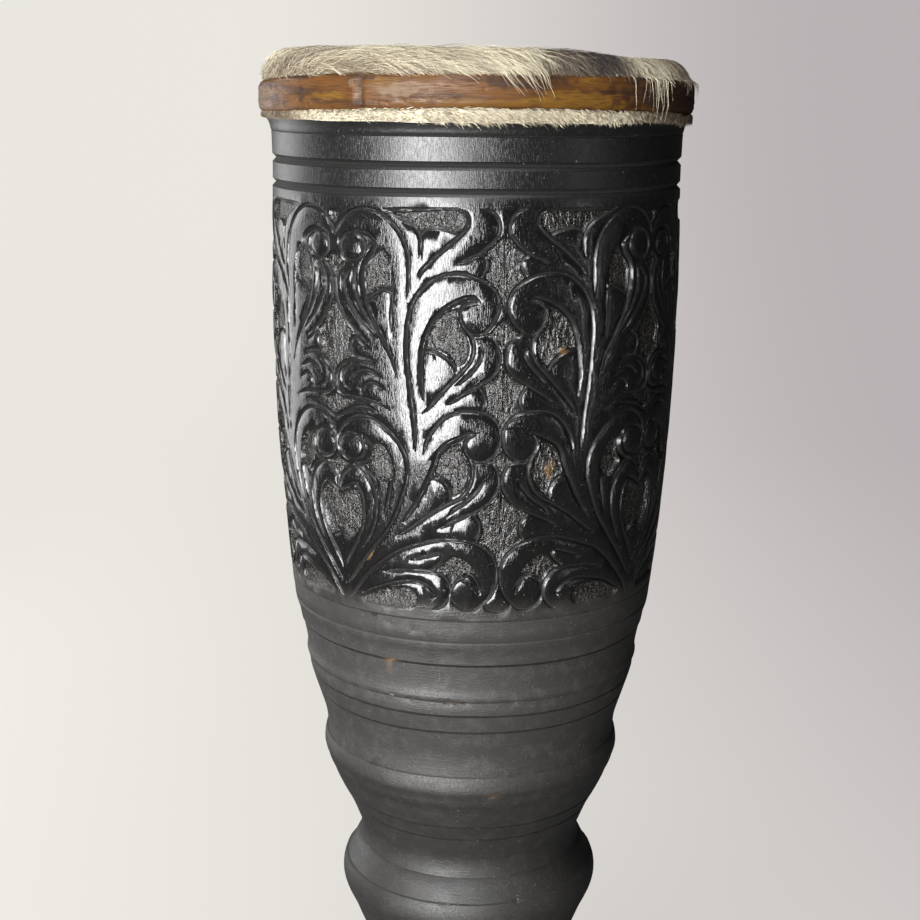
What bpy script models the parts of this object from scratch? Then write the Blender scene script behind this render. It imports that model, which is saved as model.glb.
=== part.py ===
"""Ceremonial goblet drum: a turned and carved hollow wooden body, a hair-on hide head and a split cane hoop.

Metres, +Z up. The origin is the centre of the foot's underside, and the side seen from the front faces -Y.
"""
import math

import bmesh
import bpy

# Heights of the turned bands, one on another from the foot up
PLINTH_HEIGHT = 0.0120
FOOT_TORUS_HEIGHT = 0.0150
TRUMPET_HEIGHT = 0.0830
LOW_RING_HEIGHT = 0.0140
LOW_NECK_HEIGHT = 0.0220
WAIST_SWELL_HEIGHT = 0.0290
WAIST_COLLAR_HEIGHT = 0.0090
CUP_BELL_HEIGHT = 0.0415
CUP_RING_HEIGHT = 0.0085
CUP_HEIGHT = 0.0335
WIDE_BAND_HEIGHT = 0.0158
COVE_HEIGHT = 0.0217
CARVED_HEIGHT = 0.1510
NECKING_HEIGHT = 0.0240
SHOULDER_HEIGHT = 0.0050
SHOULDER_SLOPE = 0.0013
SEAT_HEIGHT = 0.0200

# Outer radii of the same bands
FOOT_RADIUS = 0.0700
FOOT_TORUS_RADIUS = 0.0685
TRUMPET_FOOT_RADIUS = 0.0630
TRUMPET_TOP_RADIUS = 0.0430
LOW_RING_RADIUS = 0.0488
LOW_NECK_RADIUS = 0.0446
WAIST_RING_RADIUS = 0.0544
WAIST_CREASE_RADIUS = 0.0522
HIGH_NECK_RADIUS = 0.0467
CUP_BELL_RADIUS = 0.0604
CUP_RING_RADIUS = 0.0617
CUP_FOOT_RADIUS = 0.0602
CUP_TOP_RADIUS = 0.0677
WIDE_BAND_RADIUS = 0.0686
WIDE_BAND_TOP_RADIUS = 0.0702
COVE_FOOT_RADIUS = 0.0711
BOWL_FOOT_RADIUS = 0.0747
BOWL_TOP_RADIUS = 0.0803
BOWL_SWELL = 0.0027
SHOULDER_FLARE = 0.0019
SEAT_REBATE = 0.0056
SHOULDER_RADIUS = BOWL_TOP_RADIUS + SHOULDER_FLARE
SEAT_RADIUS = SHOULDER_RADIUS - SEAT_REBATE

# Turned grooves: how deep and wide, and how far above the carved band the upper pair lies
GROOVE_DEPTH = 0.0014
GROOVE_HALF_WIDTH = 0.0015
LOWER_GROOVE_RISE = 0.0048
UPPER_GROOVE_RISE = 0.0140
EDGE_EASE = 0.0010

# The hollow
RIM_WALL = 0.0072
BOWL_WALL = 0.0098
THROAT_RADIUS = 0.0220
FOOT_WALL = 0.0160

# The hide head and the cane hoop that holds it
CLEARANCE = 0.0003
HIDE_THICKNESS = 0.0010
HEAD_THICKNESS = 0.0050
FUR_OVERHANG = 0.0004
SKIRT_DROP = 0.0068
HOOP_HEIGHT = 0.0132
HOOP_PROUD = 0.0021
HOOP_ROUNDING = 0.0014

# The carved fans: four repeats round the bowl, each mirrored on itself, the front one set a little wider
FAN_COUNT = 4
FRONT_FAN_MIDDLE = math.radians(7.3)
FRONT_FAN_WIDTH = math.radians(94.0)
POCKET_DEPTH = 0.0026
VEIN_DEPTH = 0.0017
VEIN_WIDTH = 0.0034
CUTTER_PROUD = 0.0020

ROUND_STEPS = 32
SHARP_ANGLE = math.radians(28.0)

# Sunk ground of one half fan: share of the half fan from its root to its middle, share down the carved
# band, both in hundredths. The last lists straddle the root line or the middle line, half of each drawn.
SIDE_POCKETS = {
    "top_dish": [(34, 1), (75, 0), (81, 3), (77, 6), (54, 6), (48, 3)],
    "upper_curl": [(75, 24), (65, 26), (59, 33), (69, 33), (75, 37), (82, 31)],
    "lower_curl": [(79, 55), (68, 58), (62, 64), (70, 66), (73, 70), (83, 63)],
    "inner_leaf": [(29, 10), (36, 12), (39, 19), (29, 20), (22, 22), (21, 15)],
}
ROOT_POCKETS = {
    "heart": [(0, 71), (12, 70), (16, 75), (9, 83), (0, 82)],
}
MIDDLE_POCKETS = {
    "upper_seam": [(0, 8), (7, 10), (9, 16), (2, 23), (0, 26)],
    "middle_seam": [(0, 36), (8, 43), (9, 47), (2, 52), (0, 54)],
    "lower_seam": [(0, 67), (11, 75), (10, 81), (4, 86), (0, 89)],
}

# Cut outlines of the curling leaves in one half fan, in the same hundredths
LEAF_VEINS = {
    "third_curl": [(52, 56), (47, 30), (52, 20), (66, 15), (86, 16), (96, 23), (87, 29)],
    "second_curl": [(56, 59), (62, 52), (74, 48), (89, 49), (97, 54), (94, 59), (88, 60)],
    "bottom_curl": [(5, 97), (42, 84), (65, 80), (85, 82), (96, 88), (94, 95), (83, 99)],
    "top_root_curl": [(46, 21), (49, 14), (44, 5), (29, 1), (11, 2), (3, 6)],
    "low_root_curl": [(3, 51), (18, 48), (35, 51), (46, 59), (45, 69), (34, 78), (5, 93)],
}


def clear_scene():
    for obj in list(bpy.data.objects):
        bpy.data.objects.remove(obj, do_unlink=True)


def new_collection(name):
    collection = bpy.data.collections.new(name)
    bpy.context.scene.collection.children.link(collection)
    return collection


def new_material(name, colour, roughness):
    material = bpy.data.materials.new(name)
    material.use_nodes = True
    shader = material.node_tree.nodes["Principled BSDF"]
    shader.inputs["Base Color"].default_value = (*colour, 1.0)
    shader.inputs["Roughness"].default_value = roughness
    shader.inputs["Metallic"].default_value = 0.0
    return material


def swell(start, end, bulge, steps):
    """Points after start up to end, on a line that swells out by bulge, or hollows in where it is negative."""
    points = []
    for step in range(1, steps + 1):
        share = step / steps
        height = start[1] + (end[1] - start[1]) * share
        radius = start[0] + (end[0] - start[0]) * share + 4.0 * bulge * share * (1.0 - share)
        points.append((radius, height))
    return points


def groove(radius, height):
    """Three points of a turned groove, from below to above."""
    return [
        (radius, height - GROOVE_HALF_WIDTH),
        (radius - GROOVE_DEPTH, height),
        (radius, height + GROOVE_HALF_WIDTH),
    ]


CARVED_FOOT = sum((
    PLINTH_HEIGHT, FOOT_TORUS_HEIGHT, TRUMPET_HEIGHT, LOW_RING_HEIGHT, LOW_NECK_HEIGHT, WAIST_SWELL_HEIGHT,
    WAIST_COLLAR_HEIGHT, CUP_BELL_HEIGHT, CUP_RING_HEIGHT, CUP_HEIGHT, WIDE_BAND_HEIGHT, COVE_HEIGHT,
))
CARVED_TOP = CARVED_FOOT + CARVED_HEIGHT
SEAT_FOOT = CARVED_TOP + NECKING_HEIGHT + SHOULDER_HEIGHT + SHOULDER_SLOPE
RIM_TOP = SEAT_FOOT + SEAT_HEIGHT


def bowl_radius(height):
    """Outer radius of the carved band at a height."""
    share = (height - CARVED_FOOT) / CARVED_HEIGHT
    return BOWL_FOOT_RADIUS + (BOWL_TOP_RADIUS - BOWL_FOOT_RADIUS) * share + 4.0 * BOWL_SWELL * share * (1.0 - share)


def foot_profile():
    """The spreading foot, up to the underside of the waist ring."""
    points = [(FOOT_RADIUS - EDGE_EASE, 0.0), (FOOT_RADIUS, EDGE_EASE), (FOOT_RADIUS, PLINTH_HEIGHT)]
    height = PLINTH_HEIGHT
    torus_edge = FOOT_TORUS_RADIUS - 2.0 * EDGE_EASE
    points.append((torus_edge, height))
    points += swell(points[-1], (torus_edge, height + FOOT_TORUS_HEIGHT), 2.0 * EDGE_EASE, 3)
    height += FOOT_TORUS_HEIGHT
    points.append((TRUMPET_FOOT_RADIUS, height))
    points += swell(points[-1], (TRUMPET_TOP_RADIUS, height + TRUMPET_HEIGHT), -2.5 * EDGE_EASE, 3)
    height += TRUMPET_HEIGHT
    points += swell(
        points[-1],
        (LOW_NECK_RADIUS, height + LOW_RING_HEIGHT),
        LOW_RING_RADIUS - (TRUMPET_TOP_RADIUS + LOW_NECK_RADIUS) / 2.0,
        4,
    )
    height += LOW_RING_HEIGHT + LOW_NECK_HEIGHT
    points += swell(points[-1], (LOW_NECK_RADIUS, height), -0.5 * EDGE_EASE, 2)
    return points


def waist_profile(start):
    """The waist ring with its sloping collar, and the bell that opens to the cup ring."""
    height = start[1] + WAIST_SWELL_HEIGHT
    points = swell(start, (WAIST_CREASE_RADIUS, height), WAIST_RING_RADIUS - WAIST_CREASE_RADIUS + EDGE_EASE, 4)
    height += WAIST_COLLAR_HEIGHT
    points.append((HIGH_NECK_RADIUS, height))
    points += swell(points[-1], (CUP_BELL_RADIUS, height + CUP_BELL_HEIGHT), -1.8 * EDGE_EASE, 4)
    height += CUP_BELL_HEIGHT
    points.append((CUP_RING_RADIUS, height + EDGE_EASE))
    points.append((CUP_RING_RADIUS, height + CUP_RING_HEIGHT / 2.0))
    points.append((CUP_FOOT_RADIUS, height + CUP_RING_HEIGHT))
    return points


def cup_profile(start):
    """The cup under the bowl: a hollow flank, the wide band and the cove below the carving."""
    height = start[1] + CUP_HEIGHT
    points = swell(start, (CUP_TOP_RADIUS, height), -0.4 * EDGE_EASE, 3)
    points.append((WIDE_BAND_RADIUS, height + EDGE_EASE))
    height += WIDE_BAND_HEIGHT
    points.append((WIDE_BAND_TOP_RADIUS, height - GROOVE_HALF_WIDTH))
    points.append((WIDE_BAND_TOP_RADIUS - GROOVE_DEPTH, height))
    points.append((COVE_FOOT_RADIUS, height + GROOVE_HALF_WIDTH))
    points += swell(points[-1], (BOWL_FOOT_RADIUS, CARVED_FOOT), -0.3 * EDGE_EASE, 2)
    return points


def bowl_profile():
    """The carved bowl, its pair of turned grooves, the shoulder and the seat that the hoop goes round."""
    points = []
    for share in (0.18, 0.42, 0.72, 1.0):
        height = CARVED_FOOT + CARVED_HEIGHT * share
        points.append((bowl_radius(height), height))
    points += groove(BOWL_TOP_RADIUS, CARVED_TOP + LOWER_GROOVE_RISE)
    points += groove(BOWL_TOP_RADIUS, CARVED_TOP + UPPER_GROOVE_RISE)
    points.append((BOWL_TOP_RADIUS, CARVED_TOP + NECKING_HEIGHT))
    points.append((SHOULDER_RADIUS, CARVED_TOP + NECKING_HEIGHT + SHOULDER_HEIGHT))
    points.append((SEAT_RADIUS, SEAT_FOOT))
    points.append((SEAT_RADIUS, RIM_TOP))
    return points


def hollow_profile():
    """The inside, from the rim down: the bowl's chamber, the throat and the bell under the foot."""
    rim_inner = SEAT_RADIUS - RIM_WALL
    points = [(rim_inner, RIM_TOP)]
    for share in (1.0, 0.0):
        height = CARVED_FOOT + CARVED_HEIGHT * share
        points.append((bowl_radius(height) - BOWL_WALL, height))
    chamber_foot = CARVED_FOOT - COVE_HEIGHT - WIDE_BAND_HEIGHT - CUP_HEIGHT
    depth = CARVED_FOOT - chamber_foot
    reach = points[-1][0] - THROAT_RADIUS
    for degrees in (45.0, 90.0):
        angle = math.radians(degrees)
        points.append((THROAT_RADIUS + reach * math.cos(angle), CARVED_FOOT - depth * math.sin(angle)))
    throat_foot = PLINTH_HEIGHT + FOOT_TORUS_HEIGHT + TRUMPET_HEIGHT
    points.append((THROAT_RADIUS, throat_foot))
    foot_inner = FOOT_RADIUS - FOOT_WALL
    points.append((foot_inner, 0.0))
    return points


def body_profile():
    """Closed section of the body: down its outer side from the rim, and back up through the hollow."""
    outer = foot_profile()
    outer += waist_profile(outer[-1])
    outer += cup_profile(outer[-1])
    outer += bowl_profile()
    return outer[::-1] + hollow_profile()[::-1]


def turned(name, profile, closed, material, collection):
    """A turned piece: its section in the XZ plane, screwed once round Z."""
    mesh = bpy.data.meshes.new(name)
    piece = bpy.data.objects.new(name, mesh)
    collection.objects.link(piece)
    section = bmesh.new()
    corners = [section.verts.new((radius, 0.0, height)) for radius, height in profile]
    for first, second in zip(corners, corners[1:]):
        section.edges.new((first, second))
    if closed:
        section.edges.new((corners[-1], corners[0]))
    section.to_mesh(mesh)
    section.free()
    screw = piece.modifiers.new("turn", "SCREW")
    screw.axis = "Z"
    screw.angle = math.tau
    screw.steps = ROUND_STEPS
    screw.render_steps = ROUND_STEPS
    screw.use_merge_vertices = True
    screw.merge_threshold = 0.00001
    screw.use_smooth_shade = True
    mesh.materials.append(material)
    return piece


def hoop_inner_radius():
    return SEAT_RADIUS + CLEARANCE + HIDE_THICKNESS + CLEARANCE


def hoop_outer_radius():
    return SHOULDER_RADIUS + HOOP_PROUD


def hoop_foot():
    return SEAT_FOOT + CLEARANCE + HIDE_THICKNESS + CLEARANCE


def hoop_profile():
    """Section of the split cane: flat against the hide, its round skin outwards."""
    inner = hoop_inner_radius()
    outer = hoop_outer_radius()
    foot = hoop_foot()
    top = foot + HOOP_HEIGHT
    edge = outer - HOOP_ROUNDING
    return [
        (inner, top),
        (edge, top),
        (outer, top - 2.0 * HOOP_ROUNDING),
        (outer, foot + 2.0 * HOOP_ROUNDING),
        (edge, foot),
        (inner, foot),
    ]


def hide_profile():
    """Section of the hide with its coat: over the rim, down behind the hoop and out below it as a skirt."""
    under = RIM_TOP + CLEARANCE
    top = under + HEAD_THICKNESS
    lap_inner = SEAT_RADIUS + CLEARANCE
    lap_outer = lap_inner + HIDE_THICKNESS
    hoop_top = hoop_foot() + HOOP_HEIGHT + CLEARANCE
    fur_radius = hoop_outer_radius() + FUR_OVERHANG
    skirt_top = SEAT_FOOT + CLEARANCE + HIDE_THICKNESS
    shoulder_top = SEAT_FOOT - SHOULDER_SLOPE
    skirt_foot = skirt_top - SKIRT_DROP
    flare = SHOULDER_FLARE / SHOULDER_HEIGHT
    skirt_inner = SHOULDER_RADIUS + CLEARANCE * 2.0
    foot_inner = skirt_inner - flare * (shoulder_top - skirt_foot) * 0.6
    return [
        (0.0, top),
        (0.72 * fur_radius, top),
        (fur_radius - 0.6 * HEAD_THICKNESS, top - 0.2 * HEAD_THICKNESS),
        (fur_radius, top - 0.8 * HEAD_THICKNESS),
        (fur_radius - EDGE_EASE, hoop_top),
        (lap_outer, hoop_top),
        (lap_outer, skirt_top),
        (skirt_inner + EDGE_EASE, skirt_top - SHOULDER_SLOPE),
        (fur_radius, shoulder_top),
        (fur_radius - EDGE_EASE, skirt_foot),
        (foot_inner, skirt_foot),
        (skirt_inner, shoulder_top),
        (lap_inner, SEAT_FOOT + CLEARANCE),
        (lap_inner, under),
        (0.0, under),
    ]


def fan_lines():
    """The root lines and the middle lines of the fans: angle, and the half fan's width to each side."""
    other_width = (math.tau - FRONT_FAN_WIDTH) / (FAN_COUNT - 1)
    roots = []
    middles = []
    middle = FRONT_FAN_MIDDLE
    width = FRONT_FAN_WIDTH
    for fan in range(FAN_COUNT):
        next_width = FRONT_FAN_WIDTH if fan == FAN_COUNT - 1 else other_width
        middles.append((middle, width / 2.0, width / 2.0))
        roots.append((middle + width / 2.0, width / 2.0, next_width / 2.0))
        middle += width / 2.0 + other_width / 2.0
        width = other_width
    return roots, middles


def place_on_bowl(angle, height, lift):
    """The point of the bowl's surface at an angle from the front, lifted off it by a distance."""
    radius = bowl_radius(height) + lift
    return (radius * math.sin(angle), -radius * math.cos(angle), height)


def share_to_height(share):
    return CARVED_TOP - CARVED_HEIGHT * share / 100.0


def link_cutter(name, mesh, cutters):
    cutter = bpy.data.objects.new(name, mesh)
    cutter.hide_render = True
    cutter.display_type = "WIRE"
    cutters.objects.link(cutter)
    return cutter


def curve_to_mesh(curve, name):
    """The welded mesh of a curve, which is then removed."""
    holder = bpy.data.objects.new(name, curve)
    bpy.context.scene.collection.objects.link(holder)
    bpy.context.view_layer.update()
    mesh = bpy.data.meshes.new_from_object(holder.evaluated_get(bpy.context.evaluated_depsgraph_get()))
    bpy.data.objects.remove(holder, do_unlink=True)
    bpy.data.curves.remove(curve)
    welded = bmesh.new()
    welded.from_mesh(mesh)
    bmesh.ops.remove_doubles(welded, verts=welded.verts, dist=0.000001)
    bmesh.ops.recalc_face_normals(welded, faces=welded.faces)
    welded.to_mesh(mesh)
    welded.free()
    return mesh


def pocket_cutter(name, outline, line, cutters):
    """A flat outline, extruded and then wrapped round the bowl about one of the fans' lines."""
    angle, left_width, right_width = line
    curve = bpy.data.curves.new(name, "CURVE")
    curve.dimensions = "2D"
    curve.fill_mode = "BOTH"
    curve.extrude = (POCKET_DEPTH + CUTTER_PROUD) / 2.0
    spline = curve.splines.new("POLY")
    spline.points.add(len(outline) - 1)
    spline.use_cyclic_u = True
    for point, (across, down) in zip(spline.points, outline):
        width = right_width if across > 0 else left_width
        turn = width * across / 100.0
        point.co = (turn * BOWL_TOP_RADIUS, share_to_height(down), 0.0, 1.0)
    mesh = curve_to_mesh(curve, name)
    for vertex in mesh.vertices:
        lift = vertex.co.z + (CUTTER_PROUD - POCKET_DEPTH) / 2.0
        vertex.co = place_on_bowl(angle + vertex.co.x / BOWL_TOP_RADIUS, vertex.co.y, lift)
    block = bmesh.new()
    block.from_mesh(mesh)
    bmesh.ops.recalc_face_normals(block, faces=block.faces)
    block.to_mesh(mesh)
    block.free()
    link_cutter(name, mesh, cutters)


def vein_cutter(name, path, line, side, cutters):
    """A four-sided tube that follows a leaf's outline just under the bowl's surface."""
    angle, left_width, right_width = line
    width = right_width if side > 0 else left_width
    curve = bpy.data.curves.new(name, "CURVE")
    curve.dimensions = "3D"
    curve.bevel_depth = VEIN_WIDTH / 2.0
    curve.bevel_resolution = 0
    curve.use_fill_caps = True
    spline = curve.splines.new("POLY")
    spline.points.add(len(path) - 1)
    lift = VEIN_WIDTH / 2.0 - VEIN_DEPTH
    for point, (across, down) in zip(spline.points, path):
        place = place_on_bowl(angle + side * width * across / 100.0, share_to_height(down), lift)
        point.co = (*place, 1.0)
    link_cutter(name, curve_to_mesh(curve, name), cutters)


def straddling(half):
    """A whole outline from its right half: the half, and its mirror image back again."""
    mirrored = [(-across, down) for across, down in reversed(half) if across != 0]
    return half + mirrored


def make_cutters(cutters):
    roots, middles = fan_lines()
    for number, line in enumerate(roots):
        for side, word in ((1, "right"), (-1, "left")):
            for name, outline in SIDE_POCKETS.items():
                sided = [(side * across, down) for across, down in outline]
                pocket_cutter(f"cut_{name}_{number}_{word}", sided, line, cutters)
            for name, path in LEAF_VEINS.items():
                vein_cutter(f"cut_{name}_{number}_{word}", path, line, side, cutters)
        for name, half in ROOT_POCKETS.items():
            pocket_cutter(f"cut_{name}_{number}", straddling(half), line, cutters)
    for number, line in enumerate(middles):
        for name, half in MIDDLE_POCKETS.items():
            pocket_cutter(f"cut_{name}_{number}", straddling(half), line, cutters)


def settle(piece):
    """Replaces a piece's mesh by its modified one, with the creases of the turning and carving left sharp."""
    bpy.context.view_layer.update()
    mesh = bpy.data.meshes.new_from_object(piece.evaluated_get(bpy.context.evaluated_depsgraph_get()))
    piece.modifiers.clear()
    piece.data = mesh
    mesh.shade_smooth()
    mesh.set_sharp_from_angle(angle=SHARP_ANGLE)
    return piece


def make_body(collection, cutters):
    wood = new_material("black_stained_wood", (0.030, 0.027, 0.025), 0.38)
    body = turned("drum_body", body_profile(), True, wood, collection)
    carve = body.modifiers.new("carve", "BOOLEAN")
    carve.operation = "DIFFERENCE"
    carve.solver = "EXACT"
    carve.operand_type = "COLLECTION"
    carve.collection = cutters
    return settle(body)


def make_hide(collection):
    hide = new_material("goat_hide", (0.620, 0.540, 0.430), 0.80)
    return settle(turned("drumhead_hide", hide_profile(), False, hide, collection))


def make_hoop(collection):
    cane = new_material("split_cane", (0.400, 0.200, 0.070), 0.45)
    return settle(turned("cane_hoop", hoop_profile(), True, cane, collection))


def main():
    clear_scene()
    drum = new_collection("ceremonial_goblet_drum")
    cutters = new_collection("cutters")
    make_cutters(cutters)
    make_body(drum, cutters)
    make_hide(drum)
    make_hoop(drum)


main()
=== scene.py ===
# %% [markdown]
# # Ceremonial goblet drum
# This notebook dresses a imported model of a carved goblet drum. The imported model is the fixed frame: it says
# where the wooden body, the hide head and the cane hoop are, and it is never moved. Each step below builds
# one finer piece over one of those solids, and says what the piece is on the real drum and why it is made
# that way.

# %% Load the frame
import math

import bpy
import numpy as np
from mathutils import Matrix, Vector


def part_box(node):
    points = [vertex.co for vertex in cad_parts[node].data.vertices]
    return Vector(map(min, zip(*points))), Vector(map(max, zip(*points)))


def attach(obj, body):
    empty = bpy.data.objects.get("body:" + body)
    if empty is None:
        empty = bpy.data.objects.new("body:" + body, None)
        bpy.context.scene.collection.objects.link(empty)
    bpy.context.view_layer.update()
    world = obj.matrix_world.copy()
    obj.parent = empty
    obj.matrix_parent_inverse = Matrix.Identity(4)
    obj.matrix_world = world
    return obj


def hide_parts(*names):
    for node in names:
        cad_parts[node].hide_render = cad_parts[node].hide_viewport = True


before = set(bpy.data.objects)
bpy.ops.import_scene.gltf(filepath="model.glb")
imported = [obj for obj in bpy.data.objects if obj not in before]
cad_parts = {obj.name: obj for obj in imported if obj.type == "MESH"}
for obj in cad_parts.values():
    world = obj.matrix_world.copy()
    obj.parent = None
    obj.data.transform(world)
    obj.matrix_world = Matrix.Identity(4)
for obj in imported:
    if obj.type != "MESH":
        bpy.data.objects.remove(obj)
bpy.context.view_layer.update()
BODY_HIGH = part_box("drum_body")[1]
HOOP_LOW, HOOP_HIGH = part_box("cane_hoop")

# %% [markdown]
# ## Units and small helpers
# Wood turners and carvers measure in millimetres, Blender in metres, so sizes are written in millimetres
# and multiplied by one named factor. Angles go round the drum from the front, positive to the right. A
# value noise on a ring of cells gives every slow wobble of handwork, and it meets itself again after a full
# turn.

# %% Helpers for lines, rings and slow noise
MM = 0.001


def centred(piece_name, mesh, material):
    """A finished piece at the origin."""
    piece = bpy.data.objects.new(piece_name, mesh)
    bpy.context.scene.collection.objects.link(piece)
    mesh.materials.clear()
    mesh.materials.append(material)
    return piece


def smooth_line(points, spacing):
    """A smooth line through a few chosen points, as close points about a spacing apart."""
    chosen = np.array(points, float)
    ends = np.vstack([2.0 * chosen[0] - chosen[1], chosen, 2.0 * chosen[-1] - chosen[-2]])
    line = []
    for first, second, third, fourth in zip(ends, ends[1:], ends[2:], ends[3:]):
        pairs = ((first, second), (second, third), (third, fourth))
        gaps = [max(np.linalg.norm(after - before), 1e-9) ** 0.5 for before, after in pairs]
        start = gaps[0]
        end = start + gaps[1]
        last = end + gaps[2]
        steps = max(1, int(math.ceil(np.linalg.norm(third - second) / spacing)))
        at = np.linspace(start, end, steps, endpoint=False)[:, None]
        near = first * (start - at) / start + second * at / start
        middle = second * (end - at) / gaps[1] + third * (at - start) / gaps[1]
        far = third * (last - at) / gaps[2] + fourth * (at - end) / gaps[2]
        left = near * (end - at) / end + middle * at / end
        right = middle * (last - at) / (last - start) + far * (at - start) / (last - start)
        line.append(left * (end - at) / gaps[1] + right * (at - start) / gaps[1])
    line.append(chosen[-1:])
    return np.vstack(line)


def ease(share):
    """0 to 1 with a soft start and end."""
    share = np.clip(share, 0.0, 1.0)
    return share * share * (3.0 - 2.0 * share)


def ring_noise(angle, height, cells_round, cell_height, seed):
    """Smooth noise from -1 to 1 over the drum's side; it repeats after one full turn."""
    rows = 64
    lattice = np.random.default_rng(seed).uniform(-1.0, 1.0, (rows, cells_round))
    across = (angle / math.tau * cells_round) % cells_round
    up = height / cell_height + 7.0
    column = np.floor(across).astype(int)
    row = np.floor(up).astype(int)
    part_x = ease(across - column)
    part_y = ease(up - row)
    column %= cells_round
    next_column = (column + 1) % cells_round
    next_row = (row + 1) % rows
    row %= rows
    low = lattice[row, column] * (1.0 - part_x) + lattice[row, next_column] * part_x
    high = lattice[next_row, column] * (1.0 - part_x) + lattice[next_row, next_column] * part_x
    return low * (1.0 - part_y) + high * part_y


def round_noise(angle, cells_round, seed):
    """The same slow noise on one level of the drum."""
    return ring_noise(angle, np.zeros_like(angle), cells_round, 10.0, seed)


def turn_apart(angle, other):
    """The angle from another one, between minus and plus half a turn."""
    return (angle - other + math.pi) % math.tau - math.pi


def on_drum(angle, radius, height):
    """Points from the angle round the drum, the distance from its axis and the height."""
    return np.stack([radius * np.sin(angle), -radius * np.cos(angle), height], axis=-1)


def take_modifier_result(piece):
    """Puts the mesh that the piece's modifiers make in place of its own, and takes the modifiers off."""
    bpy.context.view_layer.update()
    mesh = bpy.data.meshes.new_from_object(piece.evaluated_get(bpy.context.evaluated_depsgraph_get()))
    piece.modifiers.clear()
    old = piece.data
    piece.data = mesh
    bpy.data.meshes.remove(old)


print("helpers ready")

# %% [markdown]
# ## The view
# The drum is seen from a little above its rim, close by, so its foot drops out of the picture. The camera
# stands 0.64 m in front of the axis, looks 12.9 degrees down, is turned half a degree to the left and leans
# half a degree.

# %% Camera
CAMERA_PLACE = (0.0, -0.6431, 0.4951)
CAMERA_DOWN = math.radians(12.93)
CAMERA_TURN = math.radians(0.483)
CAMERA_LEAN = math.radians(0.517)
SENSOR_WIDTH = 36.0
FOCAL_SHARE = 1600.0 / 920.0


def make_camera():
    camera_data = bpy.data.cameras.new("view")
    camera_data.sensor_width = SENSOR_WIDTH
    camera_data.lens = SENSOR_WIDTH * FOCAL_SHARE
    camera_data.clip_start = 0.01
    camera = bpy.data.objects.new("view", camera_data)
    bpy.context.scene.collection.objects.link(camera)
    turn = Matrix.Rotation(CAMERA_TURN, 4, "Z")
    tip = Matrix.Rotation(math.radians(90.0) - CAMERA_DOWN, 4, "X")
    lean = Matrix.Rotation(CAMERA_LEAN, 4, "Z")
    camera.matrix_world = Matrix.Translation(CAMERA_PLACE) @ turn @ tip @ lean
    bpy.context.scene.camera = camera
    return camera


view_camera = make_camera()
print("camera", CAMERA_PLACE, "lens", round(view_camera.data.lens, 2), "mm")

# %% [markdown]
# ## Shared finish: streaks, layers and bumps
# Wood, cane and hide all have a direction, so one effect comes back in each: streaks, a noise that is
# stretched along one axis, as a plane, sandpaper or a comb leaves it. That is a node group with its own
# inputs. The other helpers below add one node each. Colours are laid over one another in layers, as dust
# and wear lie on a stain.
# Some of the layers are painted light and shade.

# %% Shader nodes and the streak group
def new_tree(name, kind, inputs, outputs):
    """A node tree with named inputs and outputs, its entry and its exit."""
    tree = bpy.data.node_groups.new(name, kind)
    for label, socket_kind, value in inputs:
        socket = tree.interface.new_socket(label, in_out="INPUT", socket_type=socket_kind)
        if value is not None:
            socket.default_value = value
    for label, socket_kind in outputs:
        tree.interface.new_socket(label, in_out="OUTPUT", socket_type=socket_kind)
    entry = tree.nodes.new("NodeGroupInput")
    leave = tree.nodes.new("NodeGroupOutput")
    return tree, entry, leave


def fill(tree, node, inputs):
    """Links or sets inputs of a node: each value is another node's socket, a colour or a plain value."""
    for label, value in inputs.items():
        socket = node.inputs[label]
        if isinstance(value, bpy.types.NodeSocket):
            tree.links.new(value, socket)
        elif socket.type == "RGBA":
            socket.default_value = (*value, 1.0)
        else:
            socket.default_value = value


def add_node(tree, kind, inputs=None, output=0, **settings):
    """Adds a node with its settings and inputs, and gives one of its outputs."""
    node = tree.nodes.new(kind)
    for setting, value in settings.items():
        setattr(node, setting, value)
    fill(tree, node, inputs or {})
    return node.outputs[output]


def add_math(tree, operation, first, second):
    return add_node(tree, "ShaderNodeMath", {0: first, 1: second}, operation=operation)


def times(tree, first, second):
    return add_math(tree, "MULTIPLY", first, second)


def plus(tree, first, second):
    return add_math(tree, "ADD", first, second)


def add_range(tree, value, low, high, to_low=0.0, to_high=1.0):
    """How far a value is on its way from low to high, with a soft start and end."""
    inputs = {"Value": value, "From Min": low, "From Max": high, "To Min": to_low, "To Max": to_high}
    return add_node(tree, "ShaderNodeMapRange", inputs, interpolation_type="SMOOTHSTEP")


def add_mix(tree, share, first, second):
    """Mixes two colours; each is a socket or a plain colour."""
    inputs = {0: share, 6: first, 7: second}
    return add_node(tree, "ShaderNodeMix", inputs, 2, data_type="RGBA", clamp_factor=True)


def add_layers(tree, colour, layers):
    """Lays colours over the first one; each layer says how much of it shows, and its colour."""
    for share, over in layers:
        colour = add_mix(tree, share, colour, over)
    return colour


def add_noise(tree, vector, scale, detail, roughness=0.55):
    inputs = {"Vector": vector, "Scale": scale, "Detail": detail, "Roughness": roughness}
    return add_node(tree, "ShaderNodeTexNoise", inputs, "Fac")


def add_attribute(tree, name):
    return add_node(tree, "ShaderNodeAttribute", output="Fac", attribute_name=name)


def add_place(tree):
    """The place on the object, in metres."""
    return add_node(tree, "ShaderNodeTexCoord", output="Object")


def add_bump(tree, height, strength, distance, under=None):
    inputs = {"Height": height, "Strength": strength, "Distance": distance}
    if under is not None:
        inputs["Normal"] = under
    return add_node(tree, "ShaderNodeBump", inputs)


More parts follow.
